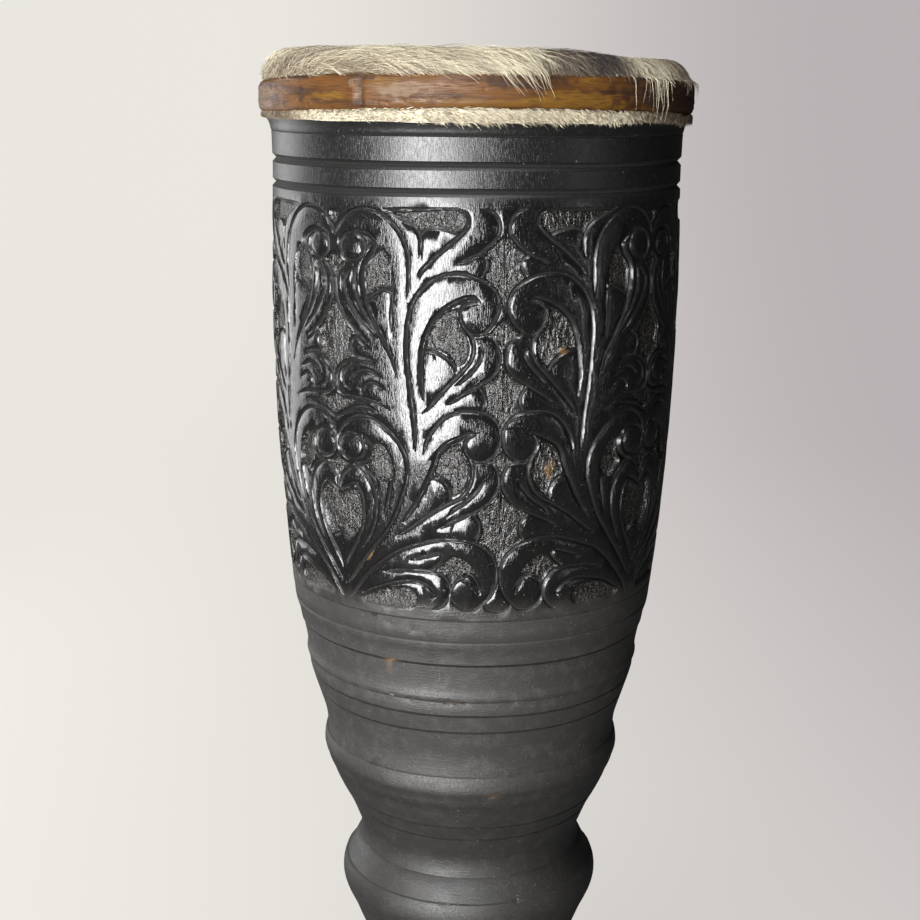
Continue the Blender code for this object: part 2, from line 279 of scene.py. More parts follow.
def streak_group():
    """Fine parallel scratches: noise on coordinates that are squeezed along one axis."""
    inputs = [
        ("Vector", "NodeSocketVector", None),
        ("Squeeze", "NodeSocketVector", (1.0, 1.0, 0.1)),
        ("Scale", "NodeSocketFloat", 600.0),
        ("Sparse", "NodeSocketFloat", 0.5),
    ]
    group, entry, leave = new_tree("streaks", "ShaderNodeTree", inputs, [("Mask", "NodeSocketFloat")])
    given = entry.outputs
    squeezed = add_node(
        group, "ShaderNodeVectorMath", {0: given["Vector"], 1: given["Squeeze"]}, operation="MULTIPLY")
    noise = add_node(
        group, "ShaderNodeTexNoise", {"Vector": squeezed, "Scale": given["Scale"], "Detail": 3.0}, "Fac")
    above = add_math(group, "SUBTRACT", noise, given["Sparse"])
    clipped = add_node(group, "ShaderNodeClamp", {"Value": times(group, above, 6.0)})
    group.links.new(clipped, leave.inputs["Mask"])
    return group


STREAKS = streak_group()


def add_streaks(tree, vector, squeeze, scale, sparse):
    inputs = {"Vector": vector, "Squeeze": squeeze, "Scale": scale, "Sparse": sparse}
    return add_node(tree, "ShaderNodeGroup", inputs, "Mask", node_tree=STREAKS)


def new_material(name):
    """A new material, with its node tree and its shader."""
    material = bpy.data.materials.new(name)
    material.use_nodes = True
    return material, material.node_tree, material.node_tree.nodes["Principled BSDF"]


print("streak group has", len(STREAKS.nodes), "nodes")

# %% [markdown]
# ## Floor, room and lamps
# Black polished wood shows little colour of its own: what the eye reads is the room that it mirrors. A wide
# soft lamp stands to the left of the camera and draws the broad bright strip down the bowl, a pale wall on
# the left lights the left edge, and the right of the room stays dim so that only the groove edges catch
# light there. A lamp above the head lights the hair, and a narrow one on the right draws a thin line on the
# bowl's edge.

# %% Stage
PAPER_COLOUR = (0.085, 0.083, 0.081)
PAPER_GLOW_LEFT = (0.785, 0.765, 0.71)
PAPER_GLOW_RIGHT = (0.455, 0.42, 0.43)
ROOM_COLOUR = (0.80, 0.785, 0.775)
PAPER_GLOW_SPAN = (-0.5, 0.7)
ROOM_LEFT, ROOM_LEFT_STRENGTH = -0.9, 0.32
ROOM_RIGHT, ROOM_RIGHT_STRENGTH = 0.5, 0.035
LAMP_AIM = (0.0, 0.0, 0.38)
LAMPS = {
    # name: azimuth left of the camera, height of the lamp, distance, width, height, watts
    "window": (25.0, 0.33, 1.10, 0.60, 0.60, 27.0),
    "left_wall": (125.0, 0.40, 1.10, 0.60, 1.00, 5.5),
    "top_fill": (15.0, 2.10, 0.80, 0.60, 0.60, 26.0),
    "right_slit": (-58.0, 0.32, 1.10, 0.04, 0.50, 0.45),
}


def paper_material():
    """Pale paper that glows for the camera alone, so that it stays even without lighting the drum."""
    material, tree, shader = new_material("pale_paper")
    across = add_node(tree, "ShaderNodeSeparateXYZ", {0: add_place(tree)}, "X")
    side = add_range(tree, across, *PAPER_GLOW_SPAN)
    fill(tree, shader, {
        "Base Color": PAPER_COLOUR,
        "Roughness": 0.8,
        "Specular IOR Level": 0.1,
        "Emission Color": add_mix(tree, side, PAPER_GLOW_LEFT, PAPER_GLOW_RIGHT),
        "Emission Strength": add_node(tree, "ShaderNodeLightPath", output="Is Camera Ray"),
    })
    return material


def make_paper():
    """A table of paper that curves up into a wall far behind the drum."""
    half_width = 3.0
    front_edge = -0.7
    bend_start = 1.6
    bend_radius = 1.2
    bend_steps = 16
    wall_top = 3.0
    line = [(front_edge, 0.0), (bend_start, 0.0)]
    for step in range(1, bend_steps + 1):
        turn = math.radians(90.0) * step / bend_steps
        line.append((bend_start + bend_radius * math.sin(turn), bend_radius * (1.0 - math.cos(turn))))
    line.append((bend_start + bend_radius, wall_top))
    points = [(side * half_width, depth, height) for depth, height in line for side in (-1.0, 1.0)]
    faces = [(2 * row, 2 * row + 1, 2 * row + 3, 2 * row + 2) for row in range(len(line) - 1)]
    mesh = bpy.data.meshes.new("paper")
    mesh.from_pydata(points, [], faces)
    mesh.shade_smooth()
    paper = centred("paper", mesh, paper_material())
    return paper


def make_lamp(name, azimuth, lamp_height, distance, width, height, watts):
    data = bpy.data.lights.new(name, "AREA")
    data.shape = "RECTANGLE"
    data.size = width
    data.size_y = height
    data.energy = watts
    lamp = bpy.data.objects.new(name, data)
    bpy.context.scene.collection.objects.link(lamp)
    angle = math.radians(azimuth)
    lamp.location = (-distance * math.sin(angle), -distance * math.cos(angle), lamp_height)
    aim = Vector(LAMP_AIM) - lamp.location
    lamp.rotation_euler = aim.to_track_quat("-Z", "Y").to_euler()
    return lamp


def make_world():
    """The camera sees a pale wall; the wood sees a room that is brighter on the left than on the right."""
    world = bpy.data.worlds.new("room")
    bpy.context.scene.world = world
    world.use_nodes = True
    tree = world.node_tree
    place = add_node(tree, "ShaderNodeTexCoord", output="Generated")
    side = add_node(tree, "ShaderNodeMapRange", {
        "Value": add_node(tree, "ShaderNodeSeparateXYZ", {0: place}, "X"),
        "From Min": ROOM_LEFT,
        "From Max": ROOM_RIGHT,
        "To Min": ROOM_LEFT_STRENGTH,
        "To Max": ROOM_RIGHT_STRENGTH,
    })
    seen = add_node(tree, "ShaderNodeLightPath", output="Is Camera Ray")
    strength = add_node(tree, "ShaderNodeMix", {0: seen, 2: side, 3: 1.0})
    fill(tree, tree.nodes["Background"], {"Color": ROOM_COLOUR, "Strength": strength})


make_paper()
for lamp_name, lamp_values in LAMPS.items():
    make_lamp(lamp_name, *lamp_values)
make_world()
bpy.context.scene.view_settings.view_transform = "Standard"
print("stage ready with", len(LAMPS), "lamps")

# %% [markdown]
# ## Black stained wood
# The real body is a pale wood, turned, stained black and rubbed until the raised leaves shine. The cut
# ground was never rubbed, so it stays rough and a little dusty, and there brown wood shows where the stain
# has worn. The lower cup is duller than the bowl. All of it reads three masks that the carving step leaves
# on the mesh: ground, cut and worn.
# The cut lines and turned grooves get one flat painted tone. On the black bowl and neck it is lighter than the
# stain, as painted light caught by the cut walls. On the charcoal cup it is darker, as painted shade in its
# grooves.

# %% Wood material
WOOD_BLACK = (0.0052, 0.0049, 0.0048)
# Painted light and shade for the cut lines and turned grooves: lighter than the black stain, darker than the
# charcoal cup.
CUT_PAINTED_LIGHT_AND_SHADE = (0.0150, 0.0145, 0.0140)
WOOD_CHARCOAL = (0.036, 0.034, 0.032)
WOOD_DUST = (0.085, 0.080, 0.072)
WOOD_BROWN = (0.200, 0.115, 0.045)
WOOD_FLECK = (0.200, 0.190, 0.175)


def wood_material():
    material, tree, shader = new_material("black_stained_wood")
    place = add_place(tree)
    height = add_node(tree, "ShaderNodeSeparateXYZ", {0: place}, "Z")
    ground, cut, worn = [add_attribute(tree, name) for name in ("ground", "cut", "worn")]
    grain = add_streaks(tree, place, (1.0, 1.0, 0.20), 2300.0, 0.50)
    scratches = add_streaks(tree, place, (1.0, 1.0, 0.10), 3600.0, 0.55)
    turning = add_streaks(tree, place, (0.12, 0.12, 1.0), 1400.0, 0.54)
    gouges = add_streaks(tree, place, (1.0, 1.0, 0.40), 620.0, 0.42)
    cloud = add_noise(tree, place, 26.0, 4.0)
    pores = add_noise(tree, place, 1500.0, 3.0)
    cup = add_range(tree, height, 0.313, 0.301)
    stem = add_range(tree, height, 0.240, 0.222, 0.0, 0.5)
    neck = add_range(tree, height, 0.452, 0.462)
    specks = add_range(tree, add_noise(tree, place, 1300.0, 1.0), 0.75, 0.77)
    dusty = times(tree, add_range(tree, pores, 0.48, 0.66), ground)
    patches = times(tree, add_range(tree, add_noise(tree, place, 170.0, 7.0, 0.70), 0.46, 0.66), cup)
    colour = add_layers(tree, WOOD_BLACK, [
        (times(tree, cup, 0.75), WOOD_CHARCOAL),
        (times(tree, grain, 0.15), WOOD_CHARCOAL),
        (times(tree, dusty, 0.80), WOOD_DUST),
        (times(tree, patches, 0.28), WOOD_DUST),
        (stem, WOOD_BLACK),
        # Cut lines and turned grooves: painted light on the black wood, painted shade on the cup.
        (times(tree, cut, 0.9), CUT_PAINTED_LIGHT_AND_SHADE),
        (worn, WOOD_BROWN),
        (times(tree, specks, 0.7), WOOD_FLECK),
    ])
    rough = add_range(tree, cloud, 0.35, 0.65, 0.11, 0.17)
    for mask, more in ((grain, 0.06), (ground, 0.05), (cut, 0.32), (cup, 0.37), (neck, 0.21)):
        rough = plus(tree, rough, times(tree, mask, more))
    pitting = times(tree, add_range(tree, pores, 0.52, 0.66), cup)
    rubbed = plus(tree, pitting, times(tree, turning, cup))
    pitted = times(tree, plus(tree, pores, gouges), ground)
    bump = add_bump(tree, grain, 0.25, 0.00012)
    bump = add_bump(tree, scratches, 0.25, 0.00008, bump)
    bump = add_bump(tree, rubbed, 0.35, 0.00016, bump)
    bump = add_bump(tree, pitted, 0.5, 0.0008, bump)
    fill(tree, shader, {"Base Color": colour, "Roughness": rough, "Specular IOR Level": 0.62, "Normal": bump})
    return material


WOOD = wood_material()
print("wood material has", len(WOOD.node_tree.nodes), "nodes")

# %% [markdown]
# ## The carved fans
# Four fans of curling leaves go round the bowl, and each is mirrored on its root line. The carver cut two
# things: V-shaped lines round every leaf, and sunk ground between the leaves. One half fan is drawn here as
# a few smooth lines, in millimetres across from the root line and down from the top of the carved band, and
# turned into a height map by distance: the nearer to a line, the deeper the cut. Mesh sculpting could make
# it too, but a map from drawn lines can be mirrored eight times and cut a little differently each time, as
# a hand would.

# %% The drawing of one half fan
HALF_FAN = 65.6
BAND_HEIGHT = 151.0
CUT_KINDS = {"fine": (0.8, 0.65), "line": (1.40, 0.90), "deep": (2.3, 1.20)}

LINES = {
    "third_outline": ("line", (6, 3), [
        (34, 88), (33.5, 78), (32.5, 66), (31, 52), (31, 43.5), (32, 36), (34.5, 31), (39, 26.5),
        (45, 23.6), (51.5, 23.4), (58, 25.8), (62.5, 29.5), (64, 35), (62.5, 39.5), (58.5, 43.9),
        (55, 44.5), (52, 42.5), (50, 38), (50.5, 35.2), (54, 33), (57, 33.4)]),
    "third_inner": ("deep", (3, 8), [
        (57.5, 32.8), (54, 31.4), (48, 33.4), (43.5, 36.5), (40, 40.5), (38, 45.5), (36.6, 52), (36.4, 60),
        (37, 68.4)]),
    "third_leaf": ("line", (0, 2), [(37, 50.5), (41, 50.5), (45, 52.4), (48, 55.6), (49.1, 58.2)]),
    "third_stalk": ("line", (0, 5), [
        (52.5, 43), (54.6, 46.5), (54.9, 51), (53.4, 55), (48, 61.2), (43.5, 66), (37, 73.8)]),
    "third_finger": ("line", (2, 4), [(57.2, 49.2), (57.9, 51.4), (57, 54.2), (52.5, 60), (49, 63)]),
    "third_lobe": ("line", (0, 4), [
        (59, 44.4), (62, 46), (64, 49.8), (64.4, 54.6), (62.5, 59), (57.3, 62.8), (51, 66.6), (45.5, 70)]),
    "third_bud": ("line", (1, 1), [(56.8, 63.2), (59, 66.4), (59.2, 70), (57.9, 72.3)]),
    "second_outline": ("line", (5, 2), [
        (37, 88.8), (39, 82.2), (43.5, 75.8), (48.5, 72.9), (54.5, 72.3), (60, 73.5), (64, 77.2),
        (65.2, 82.6), (63.4, 88), (59.6, 90.9), (56, 90.9), (53, 88), (52.3, 83.8), (53.8, 81.2),
        (56.8, 80.2)]),
    "second_inner": ("deep", (2, 8), [
        (55, 79.8), (50, 82.2), (45.6, 84.6), (42.5, 88.5), (40.8, 94), (38, 100), (35, 106), (32, 111),
        (28.8, 115.3)]),
    "second_leaf": ("line", (0, 2), [(39.4, 97.7), (42.4, 97.5), (45, 99.8), (46.7, 103.6), (46, 106.6)]),
    "second_stalk": ("line", (0, 6), [
        (54.1, 89.6), (55.3, 93.6), (54.7, 98.8), (51.2, 104.2), (45.5, 107.8), (38, 112.6), (31, 118),
        (25.6, 121.4)]),
    "second_finger": ("line", (2, 4), [(59, 98.3), (57.6, 101), (53.6, 105.2), (48.3, 109.4), (46, 112.3)]),
    "second_lobe": ("line", (0, 5), [
        (59, 91.3), (62.4, 92), (64.7, 96), (64.8, 101), (62, 106), (56.8, 109.4), (50.5, 112.6),
        (42, 117.1)]),
    "second_bud": ("line", (1, 1), [(54.8, 110.9), (57.4, 114), (57.9, 118), (56.3, 121.7)]),
    "bottom_outline": ("line", (5, 1), [
        (1.5, 149.6), (6.3, 143.7), (15.4, 134.7), (24.4, 128.1), (34.6, 123.7), (43.7, 121.1),
        (52.7, 121.6), (59, 124), (63.6, 128.7), (65, 134), (64.3, 139.8), (60.8, 145.6), (56, 149.2),
        (51.2, 148.5), (47.8, 145.6), (47.1, 141.8), (48.9, 138.2), (52.8, 136)]),
    "ball_curl": ("deep", (1, 3), [(51.9, 135.4), (54.4, 135.5), (56.9, 138), (58.7, 142.8)]),
    "short_finger": ("line", (5, 1), [
        (31, 130.2), (38, 127.9), (43.2, 126.6), (43.9, 128.9), (41.7, 131.5), (39.2, 133)]),
    "low_leaf": ("line", (6, 2), [
        (19.6, 135.9), (28, 134.5), (36.5, 134), (42.3, 134.6), (46, 138.3), (46.8, 143), (44.2, 147.8),
        (40.1, 149.7)]),
    "low_leaf_vein": ("line", (5, 1), [
        (8.8, 146), (16, 142.8), (25, 139.8), (33, 138.8), (38.3, 140.5), (40.8, 143.4), (39.6, 144.9)]),
    "ball_foot": ("line", (1, 0), [(59.6, 147), (62, 149), (65.6, 150)]),
    "head_back": ("line", (3, 2), [
        (49.6, 0.8), (52.6, 3), (52.9, 6.4), (50, 10), (43.7, 15.6), (37.4, 21.4), (34.5, 24.8)]),
    "head_front": ("line", (2, 4), [
        (58.2, 0.6), (61.6, 2.2), (63.6, 5.4), (63.5, 9.4), (59.8, 13.8), (56, 16.6), (52, 18.6),
        (48.1, 20)]),
    "head_bud": ("line", (1, 1), [(56.2, 16.7), (58.5, 17.4), (59.5, 20), (58.7, 22.6), (57.2, 24.4)]),
    "dish_foot": ("line", (1, 1), [(35.8, 10.4), (37, 8.7), (40, 7.6), (44, 7.9), (49, 9.4)]),
    "dish_leaf": ("line", (3, 5), [(25, 3), (30.5, 4.6), (34, 7.3), (35.8, 11), (35.8, 15), (34.9, 18.4)]),
    "dish_top": ("fine", (2, 1), [(21, 1.5), (30, 1), (40, 0.8), (49.6, 0.8)]),
    "crown_outline": ("line", (7, 2), [
        (30.3, 32.4), (31.2, 26), (31.2, 18), (29.4, 11.5), (26, 6.5), (21, 2.8), (15, 1.2), (10, 1.9),
        (5.6, 3.8), (2.2, 7), (0.1, 11)]),
    "stem_left": ("fine", (2, 6), [(25.2, 25), (25.2, 32), (24.8, 40), (25.6, 47)]),
    "crown_leaf": ("line", (0, 1), [(25.1, 30.2), (22, 29.3), (18.4, 30.9), (15, 33)]),
    "crown_inner": ("deep", (3, 14), [
        (7.7, 9.4), (12, 9.2), (16, 11), (18, 13.8), (16.6, 17.3), (14, 20.5), (12.9, 25), (13.5, 30),
        (16, 37), (20, 45.2), (24.4, 52.4), (27.2, 59.4)]),
    "crown_eye": ("line", (0, 0), "eye", (8.4, 14.6, 5.5, 5.1)),
    "lobe_outer": ("line", (2, 6), [
        (5.6, 20), (2.5, 23), (0.7, 27.4), (0.8, 32), (3, 37.4), (8, 43.2), (16, 49.2)]),
    "lobe_vein": ("line", (2, 6), [
        (9.5, 22.2), (6, 24.4), (4.4, 28), (5.6, 32), (9, 37.2), (13.5, 42.4), (18.2, 47.2)]),
    "lobe_edge": ("line", (2, 6), [(10.4, 21.2), (9.1, 27), (10.5, 32.6), (14.2, 39), (19.9, 47)]),
    "bud_ring": ("line", (1, 4), [
        (12.1, 46.2), (9, 48), (8, 50.8), (9.2, 53.6), (13.5, 54.6), (18.9, 55.4)]),
    "bud_vein": ("fine", (1, 3), [(10.5, 47.4), (13.4, 49.6), (16.1, 51.6)]),
    "fan_outer": ("line", (4, 6), [
        (18.9, 56.8), (13, 55.1), (7, 55.8), (2.6, 58.6), (0.6, 63.4), (1.8, 67.3), (6, 69.3), (13, 69.8),
        (19, 70.6), (24.5, 73)]),
    "fan_vein_a": ("line", (1, 4), [(7.8, 61.8), (10.9, 59.6), (14.6, 58.8), (21.3, 61.4)]),
    "fan_vein_b": ("line", (1, 4), [(13.2, 67.6), (13.6, 65), (16.6, 63.2), (22.4, 65.8)]),
    "fan_tip": ("fine", (1, 2), [(8.4, 56.8), (4.6, 59.8), (3.8, 63), (5.9, 66), (9.2, 66.8)]),
    "heart_band": ("line", (0, 3), [(0, 78), (6.3, 74.8), (12, 73), (18.2, 73.4)]),
    "heart_outer": ("line", (5, 2), [
        (0.4, 143.7), (5, 139), (11, 131.6), (18, 124), (24, 116), (28, 107.2), (30.5, 99), (30.6, 92),
        (28, 86), (23.4, 80.8), (17.5, 77), (11.5, 76.2), (6.4, 78), (2.4, 81.6), (0.4, 86.4)]),
    "heart_eye": ("line", (0, 0), "eye", (7.1, 88.3, 6.0, 5.3)),
    "heart_eye_side": ("deep", (2, 2), [(12.6, 83.4), (15.8, 86.8), (15.4, 91.4), (12.4, 94.4), (8, 95.4)]),
    "heart_leaf_top": ("line", (1, 2), [(7.7, 95.2), (12, 96), (16, 99), (18.5, 102.6)]),
    "heart_leaf_outer": ("line", (0, 6), [
        (0, 105.4), (1.3, 101.6), (4, 98), (8, 96.3), (12.6, 98.4), (16, 102.6), (17.4, 108.8), (16.6, 116),
        (13.7, 122.8), (10.4, 127.6)]),
    "heart_leaf_inner": ("line", (1, 6), [
        (0, 106.8), (4, 104.3), (7.8, 103), (10.8, 106.4), (11.6, 112.4), (10.5, 119), (7.6, 125.2),
        (2.2, 133.6), (0.6, 137.6)]),
    "heart_bud": ("line", (0, 1), [(0, 123.8), (2.2, 124.3), (4.3, 126.2)]),
    "heart_side_leaf": ("line", (1, 5), [(24.2, 100), (22.5, 108), (20.9, 114)]),
}

# Sunk ground: how deep, and the outline. Those that begin and end at 0 lie half on the root line.
GROUND = {
    "top_dish": (1.9, [
        (23, 2), (35.7, 1.5), (48.9, 1.3), (51.9, 3), (52.4, 5.6), (49.6, 8.7), (45.8, 8), (40, 7.3),
        (36.6, 8.2), (35.6, 9.2), (34.6, 7.4), (31.5, 4.7), (27.5, 3.4)]),
    "third_ground": (1.7, [
        (48.9, 35.2), (45.3, 36.4), (42, 39), (39.6, 43), (38.4, 49.2), (42.7, 49.6), (46, 51.2),
        (49.4, 55.8), (52.4, 53.5), (53.6, 49.4), (52.4, 45), (49.6, 41)]),
    "second_ground": (1.7, [
        (50.8, 83.9), (47, 85.4), (43.8, 88.4), (41.8, 93), (41.4, 96.2), (44, 97.2), (46.4, 99.4),
        (47.8, 104.2), (52, 101), (54, 96.6), (53.6, 91.8), (51.6, 88)]),
    "inner_ground": (1.5, [
        (19, 16.2), (21, 15), (23.1, 17.2), (24.4, 21.5), (24.5, 28.6), (22, 28.3), (18.5, 29.5),
        (15, 31.4), (14.1, 27), (14.8, 21.4), (16.8, 18.2)]),
    "heart_side_ground": (1.6, [
        (16.4, 86.4), (19.2, 85.5), (22.3, 87.8), (24.3, 92), (25.1, 97.8), (23, 99.6), (19.8, 100.3),
        (17.6, 98.2), (15, 95.4), (16.6, 91)]),
    "oval_ground": (1.5, [
        (7.4, 148), (12, 146), (18, 143.2), (25.9, 141.8), (31, 142.4), (33.5, 145.6), (32.4, 148.8),
        (28, 149.8), (18, 149.8), (9, 149.4)]),
    "ball_ground": (1.2, [
        (45.2, 129.6), (47.6, 127.6), (52, 129), (56.6, 134.2), (51.7, 134.8), (47.2, 138.6), (45.4, 135.4),
        (41, 133.2), (43.4, 131.4)]),
    "crown_notch": (1.3, [(0, 2.4), (2.2, 2.6), (2.4, 4), (1.2, 5.8), (0, 7)]),
    "lobe_notch": (1.4, [(0, 17.4), (2.2, 18.8), (4, 20), (2.2, 22), (0.8, 24.2), (0, 25.6)]),
    "diamond": (1.5, [
        (0, 34.2), (2.9, 39), (6.2, 43.4), (8.2, 46.2), (7, 48.8), (7, 52.2), (8, 54), (5, 55.5),
        (2.2, 57.4), (0, 60)]),
    "heart_notch": (1.5, [(0, 68.6), (3.5, 70.4), (11, 71.2), (5, 73.6), (1.8, 75.4), (0, 76.6)]),
    "eye_notch": (1.5, [(0, 92), (2.1, 94.6), (6.2, 95.6), (3, 97.4), (1, 100), (0, 103)]),
    "heart": (1.8, [
        (0, 108.2), (3.4, 106.4), (7.6, 104.8), (9.6, 106.8), (10.5, 111.5), (9.9, 117.6), (7.6, 122.4),
        (5, 124.9), (2.4, 123.2), (0, 122.6)]),
}

# Sunk ground that lies half on the middle line, across from that line
MIDDLE_GROUND = {
    "head_seam": (1.6, [
        (0, 10.6), (1.5, 10.8), (3.6, 13.4), (7.2, 16.6), (5.6, 18.6), (5.4, 21.4), (7, 24.6), (4.6, 27),
        (2, 30.4), (0.8, 33.6), (0, 35.6)]),
    "third_seam": (1.5, [(0, 39.4), (2.2, 41.4), (5.3, 44.6), (2.4, 46.6), (0, 49.4)]),
    "lobe_seam": (1.6, [
        (0, 56.2), (1.4, 58.2), (4.4, 61.2), (7.5, 63.3), (5.8, 66.4), (5.5, 70), (6.6, 72.2), (3.6, 74.2),
        (1.2, 77), (0, 79.2)]),
    "second_seam": (1.5, [(0, 87), (1.6, 89), (4.2, 91.1), (1.4, 93.2), (0, 95.6)]),
    "low_seam": (1.7, [
        (0, 101.8), (1.6, 105.3), (5.4, 108.4), (9, 110.5), (7.1, 114.4), (6.9, 118.8), (8.2, 122.2),
        (4.4, 124.8), (1.7, 128), (0, 131.8)]),
}


def eye_points(centre_x, centre_y, half_width, half_height):
    """A closed ring for the round eye of a scroll."""
    steps = 12
    turns = [math.tau * step / steps for step in range(steps + 1)]
    return [
        (centre_x + half_width * math.cos(turn), centre_y + half_height * math.sin(turn)) for turn in turns]


print(len(LINES), "cut lines and", len(GROUND) + len(MIDDLE_GROUND), "sunk grounds in each half fan")

# %% [markdown]
# ## From drawing to height map
# Each line becomes short straight runs, and every map point asks how far the nearest run is. The cut fades
# out towards the ends of a line, because a V tool is lifted as it leaves the wood. Grounds use the distance
# to their own outline, so that they get steep walls and a flat floor, and leaves are rounded over where
# they meet a cut.

# %% Height map of one half fan
MAP_STEP = 0.25
MAP_MARGIN = 4.0
WALL_WIDTH = 0.8
ROUNDING_REACH = 0.7
ROUNDING_DEPTH = 0.14


def run_distances(x, y, line):
    """Distance from each point to each short run of a line, and how far along the line its foot is."""
    start = line[:-1]
    step = line[1:] - start
    lengths = np.maximum(np.hypot(step[:, 0], step[:, 1]), 1e-9)
    offset_x = x[:, None] - start[None, :, 0]
    offset_y = y[:, None] - start[None, :, 1]
    along = np.clip((offset_x * step[:, 0] + offset_y * step[:, 1]) / lengths ** 2, 0.0, 1.0)
    distance = np.hypot(offset_x - along * step[:, 0], offset_y - along * step[:, 1])
    reached = np.concatenate([[0.0], np.cumsum(lengths)[:-1]]) + along * lengths
    return distance, reached, lengths.sum()


def inside_outline(x, y, outline):
    """True for points within a closed outline, by counting the edges that a level ray crosses."""
    inside = np.zeros(len(x), bool)
    for (x_a, y_a), (x_b, y_b) in zip(outline, np.roll(outline, -1, axis=0)):
        spans = (y_a > y) != (y_b > y)
        with np.errstate(divide="ignore", invalid="ignore"):
            crossing = x_a + (y - y_a) * (x_b - x_a) / (y_b - y_a)
        inside ^= spans & (x < crossing)
    return inside


def cut_line(grid_x, grid_y, depth, near, kind, fades, points):
    """Lowers the map along one V-shaped line."""
    cut_depth, half_width = CUT_KINDS[kind]
    line = smooth_line(points, 0.9)
    reach = 6.0
    box = (grid_x > line[:, 0].min() - reach) & (grid_x < line[:, 0].max() + reach)
    box &= (grid_y > line[:, 1].min() - reach) & (grid_y < line[:, 1].max() + reach)
    distance, reached, total = run_distances(grid_x[box], grid_y[box], line)
    fade = np.ones_like(reached)
    if fades[0]:
        fade *= 0.25 + 0.75 * ease(reached / fades[0])
    if fades[1]:
        fade *= 0.25 + 0.75 * ease((total - reached) / fades[1])
    share = np.clip(1.0 - distance / (half_width * fade), 0.0, 1.0)
    cut = (cut_depth * fade * share).max(axis=1)
    depth[box] = np.maximum(depth[box], cut)
    near[box] = np.minimum(near[box], distance.min(axis=1))


def sink_ground(grid_x, grid_y, depth, near, floor_mask, sink, points):
    """Lowers the map inside one outline, with steep walls."""
    outline = smooth_line(points + points[:1] if points[0][0] > 0 or points[-1][0] > 0 else points, 1.2)
    distance, _, _ = run_distances(grid_x, grid_y, outline)
    edge = distance.min(axis=1)
    inside = inside_outline(grid_x, grid_y, outline)
    floor = np.where(inside, ease(edge / WALL_WIDTH + 0.35), ease(0.35 - edge / WALL_WIDTH))
    depth[:] = np.maximum(depth, sink * floor)
    floor_mask[:] = np.maximum(floor_mask, floor)
    near[:] = np.minimum(near, np.where(inside, near, edge))


def half_fan_map():
    """How deep the wood is cut at each map point, and where there is sunk ground and where a cut line."""
    across = np.arange(0.0, HALF_FAN + MAP_STEP, MAP_STEP)
    down = np.arange(-MAP_MARGIN, BAND_HEIGHT + MAP_MARGIN, MAP_STEP)
    grid_x, grid_y = [values.ravel() for values in np.meshgrid(across, down)]
    depth = np.zeros_like(grid_x)
    near = np.full_like(grid_x, 9.0)
    floor_mask = np.zeros_like(grid_x)
    for kind, fades, *rest in LINES.values():
        points = eye_points(*rest[1]) if rest[0] == "eye" else rest[0]
        cut_line(grid_x, grid_y, depth, near, kind, fades, points)
    for sink, points in GROUND.values():
        sink_ground(grid_x, grid_y, depth, near, floor_mask, sink, points)
    for sink, points in MIDDLE_GROUND.values():
        mirrored = [(HALF_FAN - x, y) for x, y in points]
        sink_ground(grid_x, grid_y, depth, near, floor_mask, sink, mirrored)
    rounding = ROUNDING_DEPTH * np.exp(-near / ROUNDING_REACH) * (1.0 - floor_mask)
    shape = (len(down), len(across))
    total = np.maximum(depth, 0.0) + rounding * (1.0 - ease(depth / 1.0))
    line_mask = ease(depth / 0.9)
    return total.reshape(shape), floor_mask.reshape(shape), line_mask.reshape(shape)


CUT_MAP, GROUND_MAP, LINE_MAP = half_fan_map()
print("height map", CUT_MAP.shape, "deepest cut", round(float(CUT_MAP.max()), 2), "mm")

# %% [markdown]
# ## Turning the body
# The blank is turned on a lathe: a section, swept once round. The section below is written as smooth
# stretches that meet in creases, from the foot up, in millimetres of radius and height. Each turned groove
# gets rows of its own, so that it stays sharp, and the finished rings rise and fall a little as they go
# round, as on the real drum.

# %% The turned section
CARVED_FOOT = 305.0
CARVED_TOP = CARVED_FOOT + BAND_HEIGHT
BAND_ROWS_FOOT = 302.6
BAND_ROWS_TOP = 458.6
BOWL_FOOT_RADIUS = 74.7
BOWL_TOP_RADIUS = 80.3
BOWL_SWELL = 2.7
RIM_TOP = BODY_HIGH.z / MM

